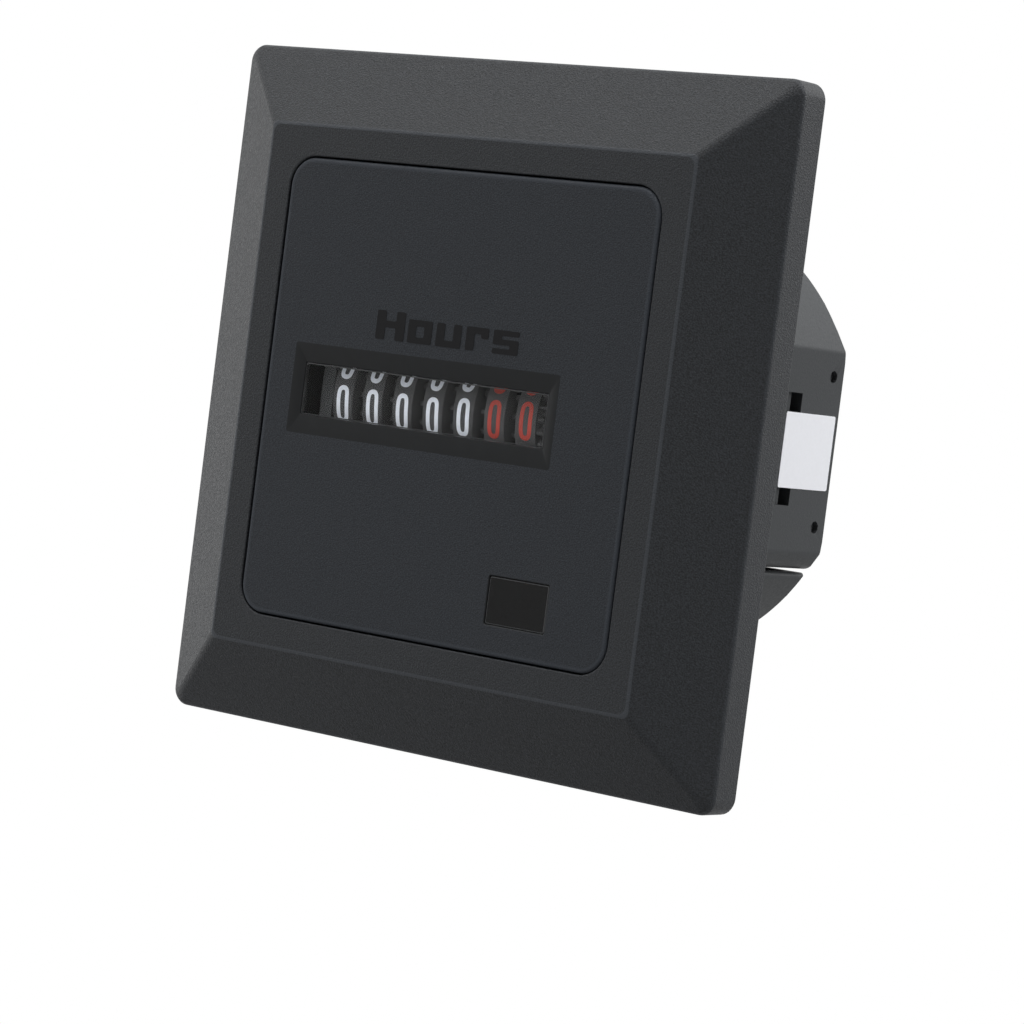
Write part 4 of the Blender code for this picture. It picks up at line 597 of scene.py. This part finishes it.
def copper_winding():
    """Enamelled wire wound in turns of a tenth of a millimetre up the bobbin."""
    made = Finish("wound_copper", (0.60, 0.22, 0.08), 0.28, metallic=0.8)
    made.tint(made.noise(2.0, 3.0), 0.85, 1.08)
    made.rough(made.noise(3.0, 2.0), 0.22, 0.36)
    made.bump(made.bands(8.0, "Z"), 0.02)
    return made.material


def board_laminate():
    """Green solder resist over copper areas."""
    made = Finish("solder_resist", (0.02, 0.16, 0.07), 0.35)
    made.tint(made.noise(0.45, 0.0), 0.70, 1.25)
    made.rough(made.noise(2.0, 2.0), 0.28, 0.42)
    made.bump(made.noise(0.45, 0.0), 0.02)
    return made.material


COPPER = copper_winding()
LAMINATE = board_laminate()


# Adapter frame


def frame_ring(half, radius):
    """One row of the frame's profile, carried once round the square."""
    return rounded_ring(half, half, radius, arc=9, side=20)


def store_lit_edges(item, lit_share):
    """Stores how strongly a highlight is painted on each vertex, from 0 to 1."""
    lit_share = lit_share.astype(np.float32)
    item.data.attributes.new("painted_highlight", "FLOAT", "POINT").data.foreach_set("value", lit_share)


def build_frame():
    """Profile carried round the square: rim, slope, flat, recess, bore, collar and rear pocket."""
    rear, rim, edge = (FACE_HALF, 0.0), (FACE_HALF, RIM), (FLAT_HALF, FRONT)
    lip, deep = (OPENING_HALF, FRONT), (OPENING_HALF, WEB_FRONT)
    share = np.linspace(BLUNT_FROM, SHARP_FROM, 5)[:, None]
    outer = [bent((SHOULDER_HALF, 0.0), rear, rim, REAR_ROUND, 3)]
    outer += [bent(rear, rim, edge, RIM_ROUND, 6)]
    outer += [np.array(rim) * (1 - share) + np.array(edge) * share]
    outer += [bent(rim, edge, lip, FLAT_ROUND, 7), bent(edge, lip, deep, LIP_ROUND, 5)]
    starts = np.cumsum([len(part) for part in outer])
    sections = []
    for half, y in np.concatenate(outer):
        slope = np.clip((RIM - y) / (RIM - FRONT), 0.0, 1.0)
        blunt = np.clip(1.0 - slope / SHARP_FROM, 0.0, 1.0) ** 2
        corner = FLAT_CORNER + (RIM_CORNER - FLAT_CORNER) * blunt
        near_lip = np.clip((FLAT_HALF - half) / (FLAT_HALF - OPENING_HALF), 0.0, 1.0)
        corner += (OPENING_CORNER - FLAT_CORNER) * near_lip
        sections.append((y, frame_ring(half, corner)))
    recess = frame_ring(OPENING_HALF, OPENING_CORNER)
    wall = frame_ring(WALL_HALF, WALL_CORNER)
    outside = np.linalg.norm(wall, axis=1, keepdims=True) < COLLAR
    wall = np.where(outside, round_like(wall, COLLAR), wall)
    sections.append((WEB_FRONT, recess))
    sections += [(y, round_like(recess, BORE)) for y in (WEB_FRONT, 0.0)]
    sections += [(y, round_like(recess, COLLAR)) for y in (0.0, WEB_REAR)]
    sections += [(WEB_REAR, wall), (POCKET_FLOOR, wall)]
    sections.append((POCKET_FLOOR, frame_ring(FLAT_HALF, FLAT_CORNER)))
    sections += [(y, frame_ring(SHOULDER_HALF, FLAT_CORNER)) for y in (SHOULDER, 0.0)]
    # Painted highlight along the rounded rim edge and along the flat's edge
    lit_share = np.zeros(len(sections))
    lit_share[starts[0] + 1:starts[1] - 1] = RIM_HIGHLIGHT
    lit_share[starts[2] + 1:starts[3] - 1] = FLAT_HIGHLIGHT
    shells = [shell(rows_at(sections), loop=True)]
    for quarter in range(4):
        turn = quarter * math.pi / 2
        for place in (-RIB_PLACE, RIB_PLACE):
            shells.append(rib(place, turn))
    item = mesh_object("adapter_frame", shells)
    finish_edges(item, 0.0)
    painted_highlight = np.zeros(len(item.data.vertices))
    painted_highlight[: len(sections) * len(recess)] = np.repeat(lit_share, len(recess))
    store_lit_edges(item, painted_highlight)
    attach(item, "bezel_frame", FRAME_BLACK)


def rib(place, turn):
    """A stiffening rib: its outline from the recess wall to the rim, given a thickness."""
    inner, outer = WALL_HALF - RIB_ROOT, SHOULDER_HALF + RIB_ROOT
    floor = POCKET_FLOOR - RIB_ROOT
    outline = [
        (inner, floor), (FLAT_HALF, floor), (outer, SHOULDER), (outer, RIB_REAR), (inner, RIB_REAR)
    ]
    points = np.array(
        [np.insert(outline, 2, place + side, axis=1) for side in (-RIB_HALF, RIB_HALF)]
    )
    c, s = math.cos(turn), math.sin(turn)
    x, z = points[..., 0].copy(), points[..., 2].copy()
    points[..., 0], points[..., 2] = c * x - s * z, s * x + c * z
    return shell(points)


# Front cover and windows


def window_loft(centre, sections):
    """Rounded rectangles of (y, half width, half height, corner), joined front to rear."""
    rings = [
        (y, rounded_ring(half_x, half_z, corner, arc=4) + np.array(centre))
        for y, half_x, half_z, corner in sections
    ]
    return shell(rows_at(rings))


def build_cover():
    """Cap with a rounded edge; each window opening is cut with its own sloped mouth."""
    angles = np.linspace(0.0, np.pi / 2, 8)
    # The front's innermost ring stands in from the edge, so that the painted edge highlight fades
    # across a band
    lit_band_to = COVER_EDGE + HIGHLIGHT_FADE
    flat = COVER_HALF - lit_band_to
    sections = [(FRONT, rounded_ring(flat, flat, COVER_CORNER - lit_band_to, arc=14))]
    for angle in angles:
        inset = COVER_EDGE * (1 - math.sin(angle))
        half = COVER_HALF - inset
        y = FRONT + COVER_EDGE * (1 - math.cos(angle))
        sections.append((y, rounded_ring(half, half, COVER_CORNER - inset, arc=14)))
    full = rounded_ring(COVER_HALF, COVER_HALF, COVER_CORNER, arc=14)
    inner = rounded_ring(COVER_HOLLOW_HALF, COVER_HOLLOW_HALF, COVER_CORNER / 2, arc=14)
    sections += [(COVER_REAR, full), (COVER_REAR, inner), (COVER_INSIDE, inner)]
    cover = mesh_object("meter_cover", [shell(rows_at(sections))])
    cover.data.materials.append(COVER_BLACK)
    for centre, (half_x, half_z), deep, (mouth_x, mouth_z) in (COUNTER_OPENING, INDICATOR_OPENING):
        above = (2 * mouth_x - half_x, 2 * mouth_z - half_z)
        wide = (half_x + PANE_ROOM, half_z + PANE_ROOM)
        cut = [
            (FRONT - deep, *above, MOUTH_CORNER),
            (FRONT + deep, half_x, half_z, PANE_CORNER),
            (COVER_INSIDE + 0.3, half_x, half_z, PANE_CORNER),
        ]
        behind = [
            (COVER_INSIDE - REBATE, *wide, FLANGE_CORNER),
            (COVER_INSIDE + 0.4, *wide, FLANGE_CORNER),
        ]
        for shape in (window_loft(centre, cut), window_loft(centre, behind)):
            tool = mesh_object("window_cut", [shape])
            tool.data.materials.append(MOUTH_BLACK)
            carve(cover, tool)
    finish_edges(cover, MOUTH_SOFT)
    # Painted highlight on the cover's rounded front edge
    points = read(cover.data.vertices, "co") / MM
    past = np.abs(points[:, [0, 2]]) - (COVER_HALF - COVER_CORNER)
    inside = np.linalg.norm(np.maximum(past, 0.0), axis=1) + np.minimum(past.max(axis=1), 0.0)
    edge = (inside > COVER_CORNER - COVER_EDGE - 0.01) & (points[:, 1] < FRONT + 0.2)
    store_lit_edges(cover, np.where(edge, COVER_HIGHLIGHT, 0.0))
    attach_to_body(cover, "meter")
    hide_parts("front_cover")


def build_lens(node, name, opening, finish):
    """Window moulding: a flat pad with a chamfered edge on a wider flange behind the cover."""
    centre, (half_x, half_z), deep, _ = opening
    pad_x, pad_z = half_x - LENS_GAP, half_z - LENS_GAP
    wide = (half_x + FLANGE_WIDTH, half_z + FLANGE_WIDTH)
    flange = COVER_INSIDE - 0.2
    sections = [
        (FRONT + deep + down, pad_x - inset, pad_z - inset, corner)
        for down, inset, corner in PANE_EDGE
    ]
    sections += [
        (flange, pad_x, pad_z, PANE_CORNER),
        (flange, *wide, FLANGE_CORNER),
        (flange + FLANGE_THICK, *wide, FLANGE_CORNER),
    ]
    item = mesh_object(name, [window_loft(centre, sections)])
    finish_edges(item, 0.0)
    attach(item, node, finish)
    # The chamfer's faces take the painted highlight grey instead of the clear moulding
    item.data.materials.append(LENS_EDGE_HIGHLIGHT)
    ring = len(rounded_ring(1.0, 1.0, 0.1, arc=4))
    chamfer = np.zeros(len(item.data.polygons), np.int32)
    chamfer[: 2 * ring] = 1
    item.data.polygons.foreach_set("material_index", chamfer)


# Strokes: a rectangle carried along a path

STROKE_CORNER = 0.42
STROKE_STEP = 0.3


def softened_path(corners, closed, reach, rounds=3):
    """Corner cutting: each side keeps its middle, all but this reach, again and again."""
    path = np.array(corners, float)
    for _ in range(rounds):
        after = np.roll(path, -1, axis=0) if closed else path[1:]
        here = path if closed else path[:-1]
        length = np.linalg.norm(after - here, axis=1, keepdims=True)
        share = np.minimum(0.25, reach / np.maximum(length, 1e-9))
        cut = np.stack([here + (after - here) * share, after - (after - here) * share], 1)
        cut = cut.reshape(-1, 2)
        path = cut if closed else np.concatenate([path[:1], cut[1:-1], path[-1:]])
    return path


def even_path(path, closed, spacing):
    """The same path with points also at even lengths along it, so that it can be wrapped."""
    line = np.concatenate([path, path[:1]]) if closed else path
    length = np.insert(np.cumsum(np.linalg.norm(np.diff(line, axis=0), axis=1)), 0, 0.0)
    even = np.linspace(0.0, length[-1], int(length[-1] / spacing) + 2)
    places = np.unique(np.round(np.concatenate([length, even]), 3))
    places = places[:-1] if closed else places
    return np.stack([np.interp(places, length, line[:, i]) for i in range(2)], axis=1)


def stroke(corners, closed, width, low, high, wrap):
    """The stroke's section (left or right, low or high) at each point of its path, then wrapped."""
    path = even_path(softened_path(corners, closed, STROKE_CORNER), closed, STROKE_STEP)
    if closed:
        ahead, behind = np.roll(path, -1, axis=0), np.roll(path, 1, axis=0)
    else:
        ahead = np.concatenate([path[1:], path[-1:]])
        behind = np.concatenate([path[:1], path[:-1]])
    along = (ahead - behind) / np.linalg.norm(ahead - behind, axis=1, keepdims=True)
    side = np.stack([-along[:, 1], along[:, 0]], axis=1) * width / 2
    edges = np.stack([path + side, path - side, path - side, path + side], axis=1)
    height = np.broadcast_to([low, low, high, high], edges.shape[:2])
    return shell(wrap(edges[..., 0], edges[..., 1], height), loop=closed)


DIGITS = {
    0: [(True, [(-1, 1), (1, 1), (1, -1), (-1, -1)])],
    1: [(False, [(-0.7, 0.62), (0.1, 1.1), (0.1, -1.1)])],
    2: [(False, [(-1, 0.5), (-1, 1), (1, 1), (1, 0.15), (-1, -0.75), (-1, -1), (1.1, -1)])],
    3: [
        (False, [(-1, 0.65), (-1, 1), (1, 1), (1, 0.05), (-0.3, 0.05)]),
        (False, [(-0.3, 0.05), (1, 0.05), (1, -1), (-1, -1), (-1, -0.65)]),
    ],
    4: [(False, [(0.5, -1.1), (0.5, 1.05), (-1, -0.4), (1.2, -0.4)])],
    5: [(False, [(1, 1), (-1, 1), (-1, 0.15), (1, 0.15), (1, -1), (-1, -1), (-1, -0.65)])],
    6: [(False, [(1, 0.65), (1, 1), (-1, 1), (-1, -1), (1, -1), (1, 0.1), (-0.9, 0.1)])],
    7: [(False, [(-1.1, 1), (1, 1), (1, 0.6), (-0.2, -1.1)])],
    8: [
        (True, [(-1, 1), (1, 1), (1, 0.05), (-1, 0.05)]),
        (True, [(-1, 0.05), (1, 0.05), (1, -1), (-1, -1)]),
    ],
    9: [(False, [(0.9, -0.1), (-1, -0.1), (-1, 1), (1, 1), (1, -1.12), (-1, -1.12), (-1, -0.6)])],
}
DIGIT_HALF = np.array([0.56, 1.74])
DIGIT_STROKE = 0.48

# Height of the middle of each drum's zero at rest
REST_HEIGHTS = (-1.15, -1.19, -1.17, -1.14, -0.79, -0.54, -0.27)

# How far the ink reaches into its drum and stands proud of it
INK_SINK, INK_HEIGHT = 0.05, 0.03
WHITE_DRUMS = 5


def build_digits(index):
    """Ten printed digits: strokes across and round the drum, at angle = arc / radius."""
    x = FIRST_DRUM_X + DRUM_PITCH * index
    rest = math.asin(REST_HEIGHTS[index] / DRUM_RADIUS)
    shells = []
    for digit, strokes in DIGITS.items():
        middle = rest - digit * math.pi / 5

        def wrap(u, v, height, middle=middle):
            """Takes (across, round, height) on to the drum: angle = middle + v / radius."""
            angle = middle + v / DRUM_RADIUS
            radius = DRUM_RADIUS + height
            return np.stack(
                [x + u, DRUM_Y - radius * np.cos(angle), radius * np.sin(angle)], axis=-1
            )

        for closed, corners in strokes:
            path = np.array(corners) * DIGIT_HALF
            shells.append(stroke(path, closed, DIGIT_STROKE, -INK_SINK, INK_HEIGHT, wrap))
    item = mesh_object("digits_%d" % (index + 1), shells)
    item.data.shade_smooth()
    item.data.set_sharp_from_angle(angle=math.radians(40))
    item.data.materials.append(WHITE_INK if index < WHITE_DRUMS else RED_INK)
    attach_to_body(item, "digit_drum_%d" % (index + 1))


LETTER_BASE, LETTER_TOP, CAPITAL_TOP = 6.08, 8.48, 9.08
LETTER_H = [
    (-10.0, LETTER_BASE), (-8.8, LETTER_BASE), (-8.8, 7.36), (-7.4, 7.36), (-7.4, LETTER_BASE),
    (-6.2, LETTER_BASE), (-6.2, CAPITAL_TOP), (-7.4, CAPITAL_TOP), (-7.4, 8.04), (-8.8, 8.04),
    (-8.8, CAPITAL_TOP), (-10.0, CAPITAL_TOP),
]
LETTER_U = [
    (-1.98, LETTER_BASE), (1.30, LETTER_BASE), (1.30, LETTER_TOP), (0.24, LETTER_TOP),
    (0.24, 6.74), (-0.90, 6.74), (-0.90, LETTER_TOP), (-1.98, LETTER_TOP),
]
LETTER_R = [
    (1.92, LETTER_BASE), (3.02, LETTER_BASE), (3.02, 7.82), (3.86, 7.82), (3.86, 7.40),
    (4.80, 7.40), (4.80, LETTER_TOP), (1.92, LETTER_TOP),
]
LETTER_S = [
    (5.42, LETTER_BASE), (8.72, LETTER_BASE), (8.72, 7.56), (6.52, 7.56), (6.52, 7.94),
    (8.72, 7.94), (8.72, LETTER_TOP), (5.42, LETTER_TOP), (5.42, 7.00), (7.62, 7.00),
    (7.62, 6.62), (5.42, 6.62),
]
LETTER_O = [
    [(-5.72, LETTER_BASE), (-2.56, LETTER_BASE), (-2.56, LETTER_TOP), (-5.72, LETTER_TOP)],
    [(-4.66, 6.70), (-3.60, 6.70), (-3.60, 7.84), (-4.66, 7.84)],
]
LETTER_SINK = 0.08
LETTER_EDGE = 0.10


def letter_rings(outline):
    """The outline with softened corners, sunk below the cover's face and proud of it."""
    ring = softened_path(outline, True, LETTER_EDGE)
    return [np.insert(ring, 1, FRONT + deep, axis=1) for deep in (LETTER_SINK, -INK_HEIGHT)]


def build_lettering():
    """The word over the window, in blocky letters standing a little proud of the cover."""
    shells = []
    for outline in (LETTER_H, LETTER_U, LETTER_R, LETTER_S):
        shells.append(shell(np.array(letter_rings(outline))))
    outside, inside = (letter_rings(outline) for outline in LETTER_O)
    shells.append(shell(np.array(outside + inside[::-1]), loop=True))
    item = mesh_object("hours_lettering", shells)
    finish_edges(item, 0.0)
    item.data.materials.append(BLACK_INK)
    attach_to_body(item, "meter")


LABEL_HALF = (4.7, 4.0)
LABEL_CORNER = 0.25
LABEL_CENTRE = (26.4, -0.1)


def build_label():
    """Blank label on the right flat: a thin sheet with rounded corners and softened edges."""
    ring = rounded_ring(*LABEL_HALF, LABEL_CORNER, arc=5)
    points = []
    for lift, inset in ((-0.01, 0.0), (0.06, 0.0), (0.08, 0.03)):
        grown = ring * (1 - inset / LABEL_HALF[1]) + LABEL_CENTRE
        points.append(np.insert(grown, 0, FLAT_X + lift, axis=1))
    item = mesh_object("side_label", [shell(np.array(points))])
    finish_edges(item, 0.0)
    item.data.materials.append(PAPER)
    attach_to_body(item, "meter")


build_frame()
build_cover()
build_lens("counter_window", "counter_lens", COUNTER_OPENING, CLEAR)
build_lens("indicator_window", "indicator_lens", INDICATOR_OPENING, SMOKED)
build_lettering()
build_label()

# Round walls: the axis, its place, the radius and the number of steps
BODY_WALL = ("Y", (0.0, 0.0), BODY_RADIUS, 176)
BODY_INSIDE = ("Y", (0.0, 0.0), BODY_BORE, 112)
CATCH_HOLES = [("X", (29.8, z), 0.68, 24) for z in (-8.05, 8.05)]
DRUM_WALL = ("X", (DRUM_Y, 0.0), DRUM_RADIUS, 112)

REAR_WALL = ("Y", (0.0, 0.0), REAR_COVER_RADIUS, 112)

# Corners cut off by knives: the flat's level, which side of it the body lies, the radius,
# and the two depths between which the corner runs. The last lies past the body's rear end.
UNDERSIDE = (-12.7, True, 2.0, 13.85, 33.0)
COVER_TOP = (-13.1, False, 0.50, 12.0, 33.0)
SIDE_FLAT = (FLAT_X, False, 1.2, 1.0, 33.0)
BOTH_SIDES = [(-1, 1), (1, 1)]
FOUR_WAYS = [(-1, -1), (-1, 1), (1, -1), (1, 1)]
housing_knives = [corner_knife(*UNDERSIDE, flip) for flip in BOTH_SIDES]
housing_knives += [corner_knife(*SIDE_FLAT, flip, upright=True) for flip in FOUR_WAYS]
cover_knives = [corner_knife(*COVER_TOP, flip) for flip in BOTH_SIDES]

housing_walls = [BODY_WALL, BODY_INSIDE, *CATCH_HOLES]
dress("housing", BODY_BLACK, BODY_SOFT, housing_walls, housing_knives)
dress("terminal_cover", BODY_BLACK, BODY_SOFT, [BODY_WALL], cover_knives)
dress("rear_cover", BODY_BLACK, BODY_SOFT, [REAR_WALL])
for drum in range(7):
    dress("digit_drum_%d" % (drum + 1), BLACK, DRUM_SOFT, [DRUM_WALL])
    build_digits(drum)

FINISHES = {
    "grey_moulding": GREY,
    "black_moulding": BLACK,
    "natural_nylon": NYLON,
    "brass": BRASS,
    "steel": STEEL,
    "enamelled_copper": COPPER,
    "board_laminate": LAMINATE,
    "capacitor_case": YELLOW,
    "lamp_body": LAMP,
}
DONE = {"bezel_frame", "front_cover", "housing", "terminal_cover", "rear_cover"}
DONE |= {"counter_window", "indicator_window"} | {"digit_drum_%d" % n for n in range(1, 8)}
for node in sorted(set(SLOT_OF) - DONE):
    dress(node, FINISHES[SLOT_OF[node]], INNER_SOFT)


# Camera, floor and light


def mixed_with_white(tree, plain, share=None):
    """Leaves white's input free; white serves rays from the camera, in gloss and through glass."""
    path = tree.nodes.new("ShaderNodeLightPath")
    total = path.outputs["Is Camera Ray"]
    for name in ("Is Glossy Ray", "Is Transmission Ray"):
        add = tree.nodes.new("ShaderNodeMath")
        add.operation = "MAXIMUM"
        tree.links.new(total, add.inputs[0])
        tree.links.new(path.outputs[name], add.inputs[1])
        total = add.outputs[0]
    if share:
        limit = tree.nodes.new("ShaderNodeMath")
        limit.operation = "MULTIPLY"
        tree.links.new(total, limit.inputs[0])
        tree.links.new(share, limit.inputs[1])
        total = limit.outputs[0]
    mix = tree.nodes.new("ShaderNodeMixShader")
    tree.links.new(total, mix.inputs[0])
    tree.links.new(plain, mix.inputs[1])
    return mix


def build_world(strength):
    """White surroundings, dimmer as a light than they look."""
    world = bpy.data.worlds.new("studio")
    world.use_nodes = True
    tree = world.node_tree
    plain = tree.nodes["Background"]
    plain.inputs["Color"].default_value = (1.0, 1.0, 1.0, 1.0)
    plain.inputs["Strength"].default_value = strength
    white = tree.nodes.new("ShaderNodeBackground")
    white.inputs["Color"].default_value = (1.0, 1.0, 1.0, 1.0)
    white.inputs["Strength"].default_value = 1.0
    mix = mixed_with_white(tree, plain.outputs[0])
    tree.links.new(white.outputs[0], mix.inputs[2])
    tree.links.new(mix.outputs[0], tree.nodes["World Output"].inputs["Surface"])
    bpy.context.scene.world = world


FLOOR_HALF = 4000.0
FLOOR_HEIGHT = -350.0
FLOOR_GREY = (0.52, 0.52, 0.52)

# Where the floor fades to white, in metres from the meter
FADE_START, FADE_END = 0.40, 0.85


def build_floor():
    """Pale floor that keeps the shadow near the meter and fades to plain white far from it."""
    corners = np.array([(-1, -1, 0), (1, -1, 0), (1, 1, 0), (-1, 1, 0)]) * FLOOR_HALF
    corners = (corners + (0.0, 0.0, FLOOR_HEIGHT)) * MM
    mesh = bpy.data.meshes.new("floor")
    mesh.from_pydata(corners.tolist(), [], [(0, 1, 2, 3)])
    floor = bpy.data.objects.new("floor", mesh)
    bpy.context.scene.collection.objects.link(floor)
    made = Finish("pale_floor", FLOOR_GREY, 0.8, specular=0.1)
    tree = made.tree
    length = tree.nodes.new("ShaderNodeVectorMath")
    length.operation = "LENGTH"
    tree.links.new(made.place, length.inputs[0])
    far = tree.nodes.new("ShaderNodeMapRange")
    far.inputs["From Min"].default_value = FADE_START
    far.inputs["From Max"].default_value = FADE_END
    tree.links.new(length.outputs["Value"], far.inputs["Value"])
    white = tree.nodes.new("ShaderNodeEmission")
    mix = mixed_with_white(tree, made.shader.outputs[0], far.outputs["Result"])
    tree.links.new(white.outputs[0], mix.inputs[2])
    tree.links.new(mix.outputs[0], tree.nodes["Material Output"].inputs["Surface"])
    mesh.materials.append(made.material)


LAMP_DISTANCE = 1.0


def build_lamp_panel(name, direction, size, level):
    """A square lamp; at level 1 a matt face turned to it shows its colour as written."""
    data = bpy.data.lights.new(name, "AREA")
    data.size = size
    data.energy = level * math.pi**2 * LAMP_DISTANCE**2
    lamp = bpy.data.objects.new(name, data)
    bpy.context.scene.collection.objects.link(lamp)
    towards = Vector(direction).normalized()
    lamp.location = towards * LAMP_DISTANCE
    lamp.rotation_euler = towards.to_track_quat("Z", "Y").to_euler()
    lamp.visible_camera = False


def build_camera():
    """Placed by fitting the photograph's corners, edges and digits to the sizes above."""
    data = bpy.data.cameras.new("camera")
    data.sensor_width = 36.0
    data.lens = 129.19
    data.clip_start = 0.01
    data.clip_end = 20.0
    camera = bpy.data.objects.new("camera", data)
    bpy.context.scene.collection.objects.link(camera)
    camera.matrix_world = Matrix(
        (
            (0.78328, -0.12518, 0.60894, 0.23417),
            (0.60900, -0.04224, -0.79205, -0.29920),
            (0.12487, 0.99123, 0.04315, 0.00644),
            (0.0, 0.0, 0.0, 1.0),
        )
    )
    bpy.context.scene.camera = camera


build_world(strength=0.20)
build_floor()
build_lamp_panel("top_lamp", (-0.20, -0.36, 0.91), size=1.0, level=1.06)
build_lamp_panel("left_lamp", (-1.0, 0.05, 0.15), size=1.2, level=0.28)
build_lamp_panel("rear_right_lamp", (0.60, 0.48, 0.64), size=0.9, level=1.12)
build_camera()
bpy.context.scene.view_settings.view_transform = "Standard"
